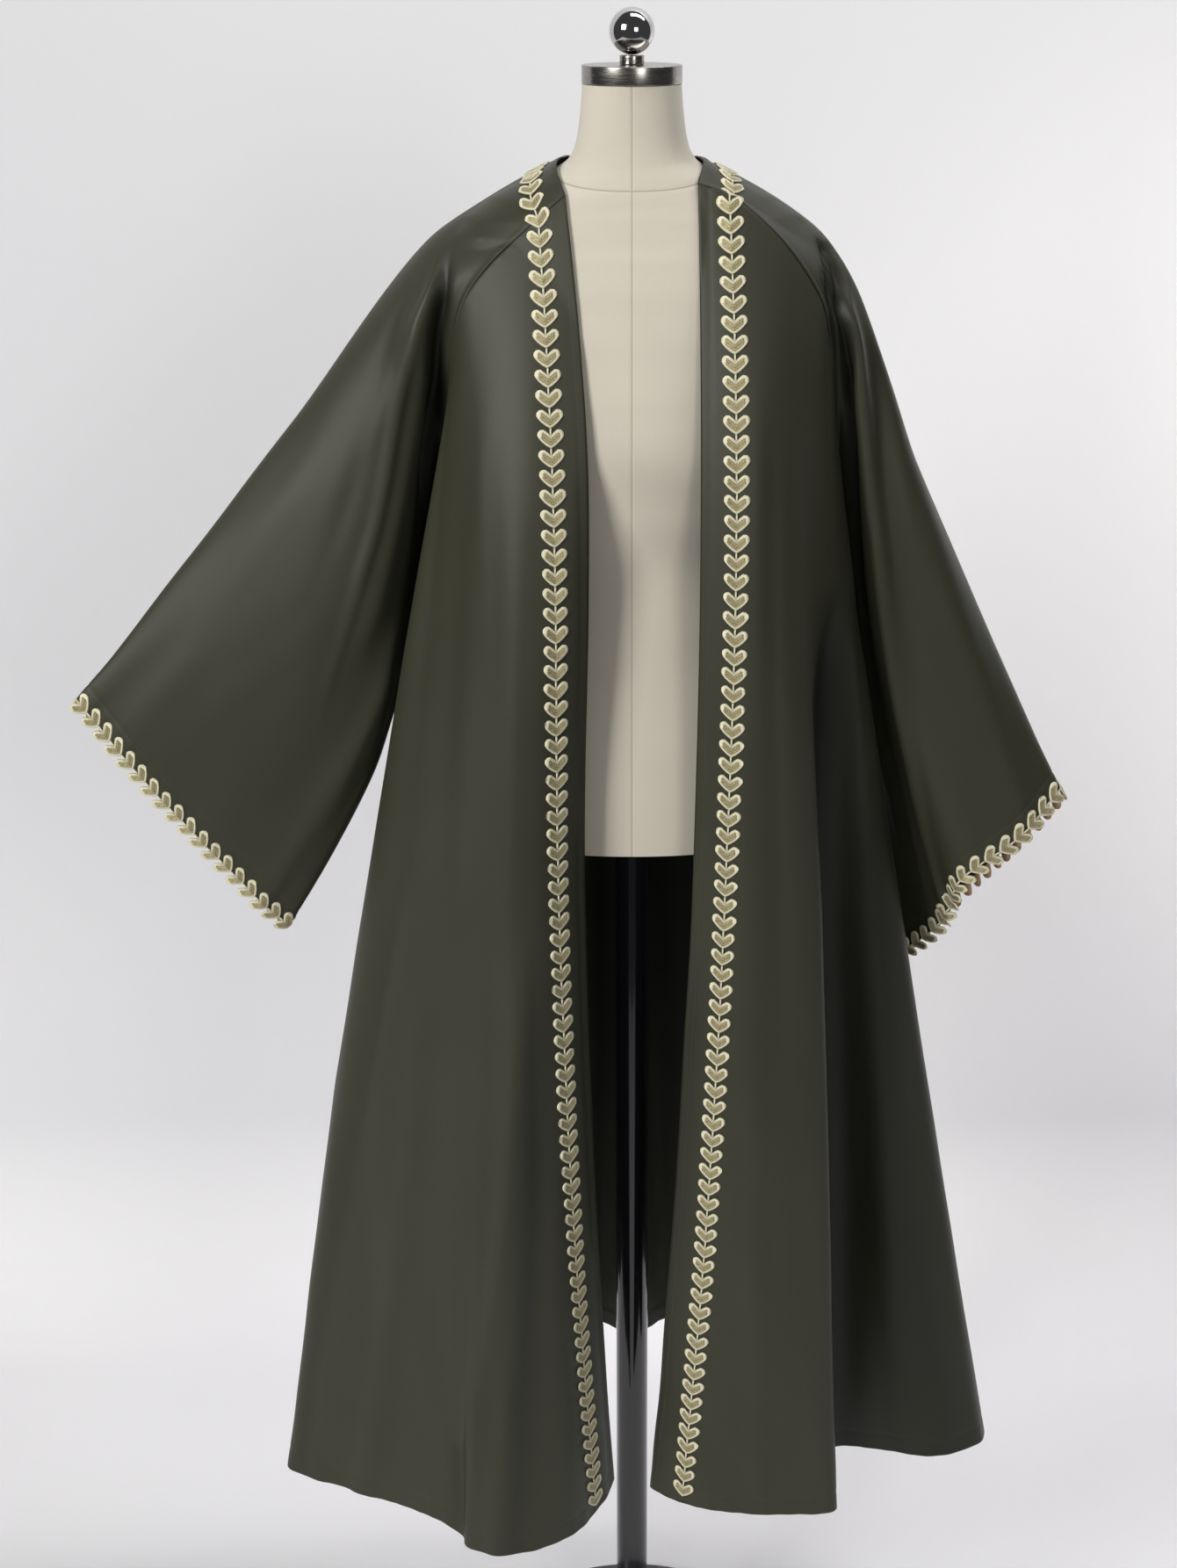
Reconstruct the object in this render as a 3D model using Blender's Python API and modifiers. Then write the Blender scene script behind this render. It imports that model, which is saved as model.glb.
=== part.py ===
"""Open abaya cloak with raglan sleeves, on a limbless dress form.

Metres, +Z up. The origin is the centre of the base's underside, the wearer's front faces -Y
and the wearer's right side is at -X. Heights of the cloak and the form are given as drops
below the top of the neck cap.
"""
import math
from collections import namedtuple

import bmesh
import bpy
import numpy as np

# Driving sizes of the stand
CAP_TOP = 2.030
BASE_RADIUS = 0.205
BASE_THICKNESS = 0.014
BASE_EDGE = 0.003
POLE_RADIUS = 0.0195
CAP_RADIUS = 0.0525
CAP_HEIGHT = 0.0190
CAP_EDGE = 0.0012
COLLAR_RADIUS = 0.0128
COLLAR_HEIGHT = 0.0092
BALL_RADIUS = 0.0237
FIT_GAP = 0.0003

# Driving sizes of the cloth
CLOTH = 0.0020
SEAM_GAP = 0.0006
FORM_EASE = 0.0047

# Driving sizes of the heart trim
HEART_HALF_WIDTH = 0.0125
HEART_STEM = 0.0016
HEART_PITCH = 0.0205
TRIM_THICKNESS = 0.0018
TRIM_LIFT = 0.0009
NECK_LIFT = 0.0022
CUFF_LIFT = 0.0014
TRIM_END_GAP = 0.0005

# Share of one heart's length from its notch, and the share of its half width there
HeartStep = namedtuple("HeartStep", "along width")
HEART_PROFILE = (HeartStep(0.0, 0.0), HeartStep(0.24, 0.94), HeartStep(0.52, 1.0))

# Dress form: one row for each ring, from the neck down
FormRing = namedtuple("FormRing", "drop half_width front back")
FORM_POWER = 2.2
FORM_SIDES = 36
FORM_RINGS = (
    FormRing(0.0193, 0.0520, 0.050, 0.050),
    FormRing(0.055, 0.0550, 0.052, 0.054),
    FormRing(0.080, 0.0595, 0.055, 0.060),
    FormRing(0.095, 0.0670, 0.058, 0.066),
    FormRing(0.115, 0.1000, 0.064, 0.075),
    FormRing(0.135, 0.1400, 0.071, 0.083),
    FormRing(0.155, 0.1720, 0.078, 0.089),
    FormRing(0.172, 0.1900, 0.083, 0.092),
    FormRing(0.195, 0.1970, 0.090, 0.095),
    FormRing(0.230, 0.1950, 0.099, 0.099),
    FormRing(0.280, 0.1850, 0.110, 0.102),
    FormRing(0.340, 0.1740, 0.121, 0.102),
    FormRing(0.390, 0.1650, 0.125, 0.098),
    FormRing(0.450, 0.1480, 0.112, 0.088),
    FormRing(0.520, 0.1280, 0.095, 0.078),
    FormRing(0.600, 0.1420, 0.100, 0.090),
    FormRing(0.680, 0.1600, 0.106, 0.104),
    FormRing(0.760, 0.1700, 0.108, 0.112),
    FormRing(0.840, 0.1700, 0.106, 0.112),
)

# Body of the cloak: one row for each line that hangs from the top seam to the hem, from the
# right front edge round the back to the left front edge. "upper" and "middle" are the
# places at 14 % and 50 % of the line's drop.
BODY_STATIONS = (0.0, 0.14, 0.5, 1.0)
FoldLine = namedtuple("FoldLine", "name seam upper middle hem")
BODY_LINES = (
    # name, seam (x, y, drop), upper (x, y), middle (x, y), hem (x, y, drop)
    FoldLine("edge_right", (-0.068, -0.062, 0.127), (-0.048, -0.128), (-0.048, -0.139), (-0.017, -0.120, 1.650)),
    FoldLine("trim_right", (-0.096, -0.068, 0.149), (-0.084, -0.138), (-0.080, -0.160), (-0.044, -0.147, 1.674)),
    FoldLine("slope_right", (-0.122, -0.072, 0.171), (-0.110, -0.142), (-0.104, -0.178), (-0.076, -0.188, 1.680)),
    FoldLine("nose_right", (-0.145, -0.074, 0.192), (-0.132, -0.140), (-0.130, -0.188), (-0.143, -0.217, 1.688)),
    FoldLine("lobe_right", (-0.167, -0.074, 0.218), (-0.152, -0.132), (-0.157, -0.180), (-0.192, -0.197, 1.686)),
    FoldLine("tuck_right", (-0.179, -0.072, 0.240), (-0.167, -0.121), (-0.168, -0.160), (-0.186, -0.172, 1.680)),
    FoldLine("run_right", (-0.186, -0.068, 0.268), (-0.184, -0.108), (-0.205, -0.145), (-0.231, -0.156, 1.665)),
    FoldLine("wing_right", (-0.191, -0.062, 0.308), (-0.209, -0.086), (-0.264, -0.115), (-0.340, -0.118, 1.655)),
    FoldLine("turn_right", (-0.199, -0.050, 0.363), (-0.236, -0.060), (-0.321, -0.060), (-0.418, -0.100, 1.650)),
    FoldLine("behind_right", (-0.207, -0.022, 0.470), (-0.232, -0.012), (-0.316, -0.002), (-0.410, -0.040, 1.650)),
    FoldLine("side_right", (-0.215, 0.014, 0.590), (-0.231, 0.028), (-0.302, 0.050), (-0.372, 0.040, 1.650)),
    FoldLine("back_r3", (-0.205, 0.058, 0.440), (-0.219, 0.083), (-0.268, 0.128), (-0.352, 0.160, 1.650)),
    FoldLine("back_r2", (-0.188, 0.088, 0.300), (-0.193, 0.115), (-0.215, 0.158), (-0.262, 0.186, 1.650)),
    FoldLine("back_r1", (-0.140, 0.098, 0.190), (-0.147, 0.130), (-0.168, 0.192), (-0.200, 0.268, 1.655)),
    FoldLine("nape_right", (-0.062, 0.072, 0.098), (-0.092, 0.124), (-0.108, 0.172), (-0.118, 0.222, 1.655)),
    FoldLine("back_mid_r", (-0.032, 0.076, 0.092), (-0.046, 0.123), (-0.054, 0.184), (-0.060, 0.276, 1.660)),
    FoldLine("centre", (0.000, 0.077, 0.090), (0.000, 0.121), (0.000, 0.170), (0.004, 0.228, 1.660)),
    FoldLine("back_mid_l", (0.032, 0.076, 0.092), (0.046, 0.123), (0.056, 0.186), (0.070, 0.284, 1.660)),
    FoldLine("nape_left", (0.062, 0.072, 0.098), (0.092, 0.124), (0.112, 0.172), (0.134, 0.226, 1.655)),
    FoldLine("back_l1", (0.140, 0.098, 0.190), (0.149, 0.130), (0.174, 0.188), (0.214, 0.258, 1.655)),
    FoldLine("back_l2", (0.190, 0.088, 0.300), (0.202, 0.115), (0.232, 0.156), (0.286, 0.196, 1.650)),
    FoldLine("back_l3", (0.210, 0.058, 0.440), (0.231, 0.084), (0.292, 0.128), (0.378, 0.158, 1.650)),
    FoldLine("side_left", (0.222, 0.014, 0.590), (0.240, 0.030), (0.326, 0.060), (0.428, 0.048, 1.648)),
    FoldLine("turn_left", (0.220, -0.022, 0.470), (0.256, -0.014), (0.333, -0.004), (0.440, -0.030, 1.648)),
    FoldLine("flank_left", (0.2185, -0.044, 0.380), (0.246, -0.040), (0.290, -0.048), (0.372, -0.068, 1.650)),
    FoldLine("recess_left", (0.213, -0.056, 0.310), (0.2225, -0.064), (0.232, -0.062), (0.262, -0.046, 1.650)),
    FoldLine("return_left", (0.208, -0.064, 0.280), (0.2065, -0.088), (0.202, -0.090), (0.212, -0.086, 1.650)),
    FoldLine("crease_left", (0.198, -0.070, 0.232), (0.186, -0.112), (0.2105, -0.135), (0.242, -0.171, 1.650)),
    FoldLine("broad_left", (0.164, -0.075, 0.180), (0.158, -0.134), (0.174, -0.157), (0.190, -0.182, 1.652)),
    FoldLine("plain_left", (0.128, -0.074, 0.144), (0.130, -0.143), (0.131, -0.163), (0.124, -0.179, 1.652)),
    FoldLine("trim_left", (0.100, -0.068, 0.124), (0.1075, -0.139), (0.102, -0.156), (0.060, -0.160, 1.652)),
    FoldLine("edge_left", (0.068, -0.060, 0.1135), (0.071, -0.127), (0.066, -0.142), (0.026, -0.128, 1.650)),
)
LINE_NAMES = [line.name for line in BODY_LINES]
SIDE_RIGHT = LINE_NAMES.index("side_right")
SIDE_LEFT = LINE_NAMES.index("side_left")
NAPE_RIGHT = LINE_NAMES.index("nape_right")
NAPE_LEFT = LINE_NAMES.index("nape_left")
EDGE_LEFT = LINE_NAMES.index("edge_left")

# Sleeves: one row for each line from the raglan seam to the cuff, from the underarm up the
# front, over the top and down the back. Each row starts on the body line it names.
SLEEVE_STATIONS = (0.0, 0.2, 0.5, 1.0)
SLEEVE_TENSION = 0.7
SleeveLine = namedtuple("SleeveLine", "name start root middle cuff")
SLEEVE_LINES = {
    "right": (
        # name, start, root (x, y, drop), middle (x, y, drop), cuff (x, y, drop)
        SleeveLine("underarm", "side_right", (-0.247, 0.004, 0.642), (-0.292, 0.000, 0.772), (-0.400, 0.000, 0.966)),
        SleeveLine("lower_front", "behind_right", (-0.233, -0.002, 0.530), (-0.277, -0.022, 0.690),
                   (-0.425, -0.014, 0.936)),
        SleeveLine("valley", "wing_right", (-0.208, -0.012, 0.390), (-0.268, -0.034, 0.600),
                   (-0.462, -0.020, 0.891)),
        SleeveLine("ridge", "nose_right", (-0.228, -0.055, 0.275), (-0.305, -0.062, 0.530),
                   (-0.510, -0.024, 0.833)),
        SleeveLine("upper_front", "edge_right", (-0.214, -0.032, 0.195), (-0.345, -0.044, 0.430),
                   (-0.576, -0.018, 0.753)),
        SleeveLine("top", None, (-0.207, 0.006, 0.170), (-0.369, 0.004, 0.370), (-0.628, 0.000, 0.690)),
        SleeveLine("upper_back", "nape_right", (-0.212, 0.046, 0.200), (-0.345, 0.046, 0.445),
                   (-0.576, 0.018, 0.753)),
        SleeveLine("back_ridge", "back_r1", (-0.226, 0.072, 0.310), (-0.308, 0.056, 0.560),
                   (-0.510, 0.022, 0.833)),
        SleeveLine("lower_back", "back_r3", (-0.236, 0.046, 0.515), (-0.278, 0.034, 0.690),
                   (-0.435, 0.014, 0.924)),
    ),
    "left": (
        SleeveLine("underarm", "side_left", (0.256, 0.026, 0.650), (0.285, 0.070, 0.800), (0.338, 0.118, 1.030)),
        SleeveLine("lower_front", "turn_left", (0.244, 0.006, 0.540), (0.270, 0.022, 0.700), (0.358, 0.066, 0.995)),
        SleeveLine("valley", "flank_left", (0.224, -0.016, 0.400), (0.254, -0.008, 0.580), (0.372, 0.014, 0.955)),
        SleeveLine("ridge", "crease_left", (0.233, -0.058, 0.290), (0.272, -0.056, 0.530), (0.378, -0.034, 0.895)),
        SleeveLine("upper_front", "edge_left", (0.222, -0.034, 0.205), (0.303, -0.048, 0.440),
                   (0.436, -0.046, 0.842)),
        SleeveLine("top", None, (0.200, 0.004, 0.170), (0.309, 0.000, 0.412), (0.490, -0.010, 0.793)),
        SleeveLine("upper_back", "nape_left", (0.214, 0.046, 0.205), (0.300, 0.056, 0.470), (0.458, 0.034, 0.850)),
        SleeveLine("back_ridge", "back_l1", (0.228, 0.074, 0.310), (0.286, 0.092, 0.580), (0.404, 0.086, 0.930)),
        SleeveLine("lower_back", "back_l3", (0.240, 0.062, 0.530), (0.276, 0.094, 0.710), (0.356, 0.120, 1.010)),
    ),
}
TOP_LINE = 5
NECK_TOP = {"right": (-0.0745, 0.006, 0.0985), "left": (0.0705, 0.006, 0.0975)}

# Where the mesh has its columns and rows. A flat strip under the front trim lies between
# the columns at TRIM_INNER and TRIM_OUTER, and under the neck trim between two rows.
TRIM_INNER = 0.62
TRIM_OUTER = 1.38
RAGLAN_BACK_STEPS = 10
NECK_STEPS = 5
NAPE_STEPS = 12
BODY_ROWS = (0.0, 0.0155, 0.033, 0.07, 0.12, 0.18, 0.25, 0.33, 0.42, 0.52, 0.62, 0.72, 0.82, 0.91, 1.0)
SLEEVE_ROWS = (0.0, 0.030, 0.063, 0.12, 0.18, 0.25, 0.34, 0.45, 0.58, 0.72, 0.86, 1.0)

COLOURS = {
    "cloth": ((0.046, 0.047, 0.037), 0.0, 0.55),
    "trim": ((0.60, 0.50, 0.30), 0.0, 0.60),
    "linen": ((0.66, 0.62, 0.54), 0.0, 0.85),
    "steel": ((0.60, 0.58, 0.55), 1.0, 0.35),
    "chrome": ((0.80, 0.80, 0.82), 1.0, 0.06),
    "black": ((0.010, 0.011, 0.014), 0.0, 0.22),
}


def slope_at(knots, rows, k, closed):
    """Tangent of the smooth curve at knot k; the ends bend on like a parabola."""
    last = len(knots) - 1
    if closed and k in (0, last):
        step = (knots[1] - knots[0]) + (knots[last] - knots[last - 1])
        return (rows[1] - rows[last - 1]) / step
    if k == 0:
        return 2 * (rows[1] - rows[0]) / (knots[1] - knots[0]) - slope_at(knots, rows, 1, closed)
    if k == last:
        chord = (rows[last] - rows[last - 1]) / (knots[last] - knots[last - 1])
        return 2 * chord - slope_at(knots, rows, last - 1, closed)
    behind = knots[k] - knots[k - 1]
    ahead = knots[k + 1] - knots[k]
    before = (rows[k] - rows[k - 1]) / behind
    after = (rows[k + 1] - rows[k]) / ahead
    return (before * ahead + after * behind) / (behind + ahead)


def smooth(knots, rows, t, closed=False, tension=1.0):
    """Point at t on a smooth curve that passes through each row at its knot."""
    rows = [np.asarray(row, float) for row in rows]
    place = int(np.searchsorted(knots, t, side="right")) - 1
    i = min(max(place, 0), len(knots) - 2)
    span = knots[i + 1] - knots[i]
    f = (t - knots[i]) / span
    start = slope_at(knots, rows, i, closed) * span * tension
    end = slope_at(knots, rows, i + 1, closed) * span * tension
    f2 = f * f
    f3 = f2 * f
    return ((2 * f3 - 3 * f2 + 1) * rows[i] + (f3 - 2 * f2 + f) * start
            + (3 * f2 - 2 * f3) * rows[i + 1] + (f3 - f2) * end)


def from_drop(place):
    return np.array([place[0], place[1], CAP_TOP - place[2]])


def form_ring(drop):
    """Half width, front depth and back depth of the form at a drop."""
    drops = [ring.drop for ring in FORM_RINGS]
    sizes = zip(*[(ring.half_width, ring.front, ring.back) for ring in FORM_RINGS])
    return [float(np.interp(drop, drops, size)) for size in sizes]


def form_radius(point):
    """1 on the form's skin, more outside it."""
    half, front, back = form_ring(CAP_TOP - point[2])
    depth = front if point[1] < 0 else back
    spread = (abs(point[0]) / half) ** FORM_POWER + (abs(point[1]) / depth) ** FORM_POWER
    return spread ** (1 / FORM_POWER)


def clear_of_form(point):
    """Cloth that would sink into the form is lifted to lie on it."""
    drop = CAP_TOP - point[2]
    if drop > FORM_RINGS[-1].drop or drop < FORM_RINGS[0].drop:
        return point
    step = 0.0005
    for _ in range(3):
        here = form_radius(point)
        grad = np.array([(form_radius(point + e) - here) / step for e in np.eye(3) * step])
        size = np.linalg.norm(grad)
        gap = (here - 1) / size
        if gap >= FORM_EASE:
            break
        point = point + grad / size * (FORM_EASE - gap)
    return point


def line_station(line, k):
    seam = from_drop(line.seam)
    hem = from_drop(line.hem)
    if k == 0:
        return seam
    if k == 3:
        return hem
    x, y = (line.upper, line.middle)[k - 1]
    return np.array([x, y, seam[2] + BODY_STATIONS[k] * (hem[2] - seam[2])])


STATION_ROWS = [[line_station(line, k) for line in BODY_LINES] for k in range(4)]
BODY_KNOTS = list(range(len(BODY_LINES)))


def body_free(u, w):
    """Cloth of the body at fold line u, a share w of the way down, before it meets the form."""
    across = [smooth(BODY_KNOTS, rows, u) for rows in STATION_ROWS]
    return smooth(BODY_STATIONS, across, w)


def body_point(u, w):
    return clear_of_form(body_free(u, w))


def sleeve_start(side, a):
    """Point of the raglan loop at sleeve line a; the part round the top line is neckline."""
    lines = SLEEVE_LINES[side]
    starts = [LINE_NAMES.index(line.start) if line.start else 0 for line in lines]
    if TOP_LINE - 1 <= a <= TOP_LINE + 1:
        front = body_free(starts[TOP_LINE - 1], 0.0)
        back = body_free(starts[TOP_LINE + 1], 0.0)
        knots = (TOP_LINE - 1, TOP_LINE, TOP_LINE + 1)
        return smooth(knots, (front, from_drop(NECK_TOP[side]), back), a)
    if a < TOP_LINE:
        return body_free(np.interp(a, range(TOP_LINE), starts[:TOP_LINE]), 0.0)
    behind = starts[TOP_LINE + 1:] + [starts[0]]
    return body_free(np.interp(a, range(TOP_LINE + 1, len(lines) + 1), behind), 0.0)


def sleeve_free(side, a, s):
    lines = SLEEVE_LINES[side]
    knots = list(range(len(lines) + 1))
    rows = [sleeve_start(side, a)]
    for part in ("root", "middle", "cuff"):
        ring = [from_drop(getattr(line, part)) for line in lines]
        rows.append(smooth(knots, ring + ring[:1], a % len(lines), closed=True))
    return smooth(SLEEVE_STATIONS, rows, s, tension=SLEEVE_TENSION)


def front_offsets(side):
    """Columns of a front, as fold lines counted from its front edge to its side seam."""
    lines = SIDE_RIGHT if side == "right" else EDGE_LEFT - SIDE_LEFT
    halves = [2 + 0.5 * k for k in range(2 * (lines - 2) + 1)]
    return [0.0, TRIM_INNER, TRIM_OUTER] + halves


def sleeve_columns(side):
    """Sleeve lines at the raglan loop: one for each column of the front and the back."""
    lines = SLEEVE_LINES[side]
    starts = [LINE_NAMES.index(line.start) if line.start else 0 for line in lines]
    edge = starts[TOP_LINE - 1]
    sign = 1 if side == "right" else -1
    front_knots = [sign * (start - edge) for start in starts[:TOP_LINE]]
    columns = []
    for offset in reversed(front_offsets(side)):
        columns.append(np.interp(-offset, [-k for k in front_knots], range(TOP_LINE)))
    columns += [TOP_LINE - 1 + 2 * k / NECK_STEPS for k in range(1, NECK_STEPS)]
    nape = starts[TOP_LINE + 1]
    behind = [abs(start - nape) for start in starts[TOP_LINE + 1:] + [starts[0]]]
    for k in range(RAGLAN_BACK_STEPS):
        reach = behind[-1] * k / RAGLAN_BACK_STEPS
        columns.append(np.interp(reach, behind, range(TOP_LINE + 1, len(lines) + 1)))
    return columns


def even_columns(side, count):
    """Sleeve lines that part the cuff into equal lengths, one for each heart."""
    lines = len(SLEEVE_LINES[side])
    fine = np.linspace(0.0, lines, 361)
    points = [sleeve_free(side, a, 1.0) for a in fine]
    steps = [np.linalg.norm(b - a) for a, b in zip(points, points[1:])]
    length = np.concatenate(([0.0], np.cumsum(steps)))
    return [float(np.interp(length[-1] * k / count, length, fine)) for k in range(count)]


def front_grid(side):
    edge = 0 if side == "right" else EDGE_LEFT
    sign = 1 if side == "right" else -1
    columns = [[body_point(edge + sign * offset, w) for w in BODY_ROWS] for offset in front_offsets(side)]
    return columns if side == "right" else columns[::-1]


def back_columns():
    step = (NAPE_RIGHT - SIDE_RIGHT) / RAGLAN_BACK_STEPS
    right = [SIDE_RIGHT + step * k for k in range(RAGLAN_BACK_STEPS)]
    middle = [NAPE_RIGHT + (NAPE_LEFT - NAPE_RIGHT) * k / NAPE_STEPS for k in range(NAPE_STEPS)]
    step = (SIDE_LEFT - NAPE_LEFT) / RAGLAN_BACK_STEPS
    left = [NAPE_LEFT + step * k for k in range(RAGLAN_BACK_STEPS + 1)]
    return right + middle + left


def back_grid():
    return [[body_point(u, w) for w in BODY_ROWS] for u in back_columns()]


def sleeve_grid(side):
    seam = sleeve_columns(side)
    cuff = even_columns(side, len(seam))
    grid = []
    for a, b in zip(seam, cuff):
        column = []
        for s in SLEEVE_ROWS:
            blend = s * s * (3 - 2 * s)
            column.append(clear_of_form(sleeve_free(side, a + (b - a) * blend, s)))
        grid.append(column)
    return grid


def grid_normals(grid, wrap, flip):
    """Outward directions at the grid's points."""
    points = np.array(grid)
    if wrap:
        across = np.roll(points, -1, axis=0) - np.roll(points, 1, axis=0)
    else:
        across = np.gradient(points, axis=0)
    down = np.gradient(points, axis=1)
    normals = np.cross(across, down)
    normals /= np.linalg.norm(normals, axis=2, keepdims=True)
    return -normals if flip else normals


def key_of(point):
    return tuple(round(value, 6) for value in point)


def unit(vector):
    return vector / max(np.linalg.norm(vector), 1e-12)


class Panel:
    """One cut piece: a grid of points, its shared normals and its two skins."""

    def __init__(self, name, grid, wrap=False, flip=False, seams=()):
        self.name = name
        self.points = np.array(grid)
        self.wrap = wrap
        self.flip = flip
        self.seams = seams
        self.normals = grid_normals(grid, wrap, flip)

    def join(self, shared):
        """Neighbours that meet at a seam thicken along the same direction there."""
        columns, rows = self.points.shape[:2]
        for i in range(columns):
            for j in range(rows):
                self.normals[i, j] = unit(shared[key_of(self.points[i, j])])

    def trimmed(self):
        """Points drawn back from the seams by half the seam gap."""
        moved = self.points.copy()
        half = SEAM_GAP / 2
        if "top" in self.seams:
            moved[:, 0] += half * self.inward(self.points[:, 1] - self.points[:, 0], self.along(0), 0)
        if "first" in self.seams:
            moved[0] += half * self.inward(self.points[1] - self.points[0], self.down(0), None, 0)
        if "last" in self.seams:
            moved[-1] += half * self.inward(self.points[-2] - self.points[-1], self.down(-1), None, -1)
        return moved

    def along(self, row):
        line = self.points[:, row]
        if self.wrap:
            return np.roll(line, -1, axis=0) - np.roll(line, 1, axis=0)
        return np.gradient(line, axis=0)

    def down(self, column):
        return np.gradient(self.points[column], axis=0)

    def inward(self, raw, tangent, row=None, column=None):
        normals = self.normals[:, row] if row is not None else self.normals[column]
        result = []
        for vector, along, normal in zip(raw, tangent, normals):
            along = unit(along)
            vector = vector - along * np.dot(vector, along)
            vector = vector - normal * np.dot(vector, normal)
            result.append(unit(vector))
        return np.array(result)

    def build(self, collection, material):
        outer = self.trimmed()
        inner = outer - CLOTH * self.normals
        columns, rows = self.points.shape[:2]
        mesh = bmesh.new()
        skins = []
        for skin in (outer, inner):
            skins.append([[mesh.verts.new(skin[i, j]) for j in range(rows)] for i in range(columns)])
        around = columns if self.wrap else columns - 1
        for i in range(around):
            k = (i + 1) % columns
            for j in range(rows - 1):
                rising = np.linalg.norm(outer[i, j] - outer[k, j + 1])
                falling = np.linalg.norm(outer[i, j + 1] - outer[k, j])
                for side, skin in enumerate(skins):
                    cell = [skin[i][j], skin[i][j + 1], skin[k][j + 1], skin[k][j]]
                    for face in halves(cell, rising < falling):
                        mesh.faces.new(face if side == 0 else face[::-1])
            for j in (0, rows - 1):
                rim = [skins[0][i][j], skins[0][k][j], skins[1][k][j], skins[1][i][j]]
                mesh.faces.new(rim if j == 0 else rim[::-1])
        if not self.wrap:
            for i in (0, columns - 1):
                for j in range(rows - 1):
                    rim = [skins[0][i][j + 1], skins[0][i][j], skins[1][i][j], skins[1][i][j + 1]]
                    mesh.faces.new(rim if i == 0 else rim[::-1])
        bmesh.ops.recalc_face_normals(mesh, faces=mesh.faces)
        return add_object(self.name, mesh, collection, material)


def halves(cell, first_diagonal):
    """The two triangles of a cell; both skins of a wall are cut along the same diagonal."""
    a, b, c, d = cell
    return ((a, b, c), (a, c, d)) if first_diagonal else ((a, b, d), (b, c, d))


def cloak_panels():
    """The five cut pieces, with the directions shared at their seams."""
    panels = [
        Panel("front_right", front_grid("right"), seams=("top", "last")),
        Panel("back", back_grid(), seams=("top", "first", "last")),
        Panel("front_left", front_grid("left"), seams=("top", "first")),
        Panel("sleeve_right", sleeve_grid("right"), wrap=True, seams=("top",)),
        Panel("sleeve_left", sleeve_grid("left"), wrap=True, flip=True, seams=("top",)),
    ]
    sums = ({}, {})
    for panel in panels:
        group = sums[1 if panel.wrap else 0]
        for point, normal in zip(panel.points.reshape(-1, 3), panel.normals.reshape(-1, 3)):
            key = key_of(point)
            group[key] = group.get(key, 0) + normal
    shared = {}
    for group in sums:
        for key, normal in group.items():
            shared[key] = shared.get(key, 0) + unit(normal)
    for panel in panels:
        panel.join(shared)
    return {panel.name: panel for panel in panels}


def heart_band(name, left, right, up, spacing, collection, material):
    """Chain of hearts between two rails, given with the outward direction at each point."""
    left, right, up = (np.array(rail) for rail in (left, right, up))
    middle = (left + right) / 2
    steps = np.linalg.norm(np.diff(middle, axis=0), axis=1)
    length = np.concatenate(([0.0], np.cumsum(steps)))
    count = max(1, int(round(length[-1] / spacing)))
    pitch = length[-1] / count
    places = [(k + step.along, step.width) for k in range(count) for step in HEART_PROFILE]
    places.append((count, 0.0))
    mesh = bmesh.new()
    rings = []
    for place, width in places:
        at = min(place * pitch, length[-1])
        spots = [np.array([np.interp(at, length, rail[:, k]) for k in range(3)]) for rail in (left, right, up)]
        across = unit(spots[1] - spots[0])
        outward = unit(spots[2] - across * np.dot(spots[2], across))
        centre = (spots[0] + spots[1]) / 2
        half = HEART_STEM + (HEART_HALF_WIDTH - HEART_STEM) * width
        corners = []
        for lift in (0.0, TRIM_THICKNESS):
            for sign in (-1, 1):
                corners.append(mesh.verts.new(centre + sign * half * across + lift * outward))
        rings.append([corners[0], corners[1], corners[3], corners[2]])
    loft(mesh, rings, closed=False)
    return add_object(name, mesh, collection, material), count


def loft(mesh, rings, closed):
    """Walls between rings of four corners, with an end face at each end of an open run."""
    pairs = list(zip(rings, rings[1:]))
    if closed:
        pairs.append((rings[-1], rings[0]))
    for first, second in pairs:
        for k in range(4):
            n = (k + 1) % 4
            mesh.faces.new((first[k], first[n], second[n], second[k]))
    if not closed:
        mesh.faces.new(rings[0][::-1])
        mesh.faces.new(rings[-1])
    bmesh.ops.recalc_face_normals(mesh, faces=mesh.faces)


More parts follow.
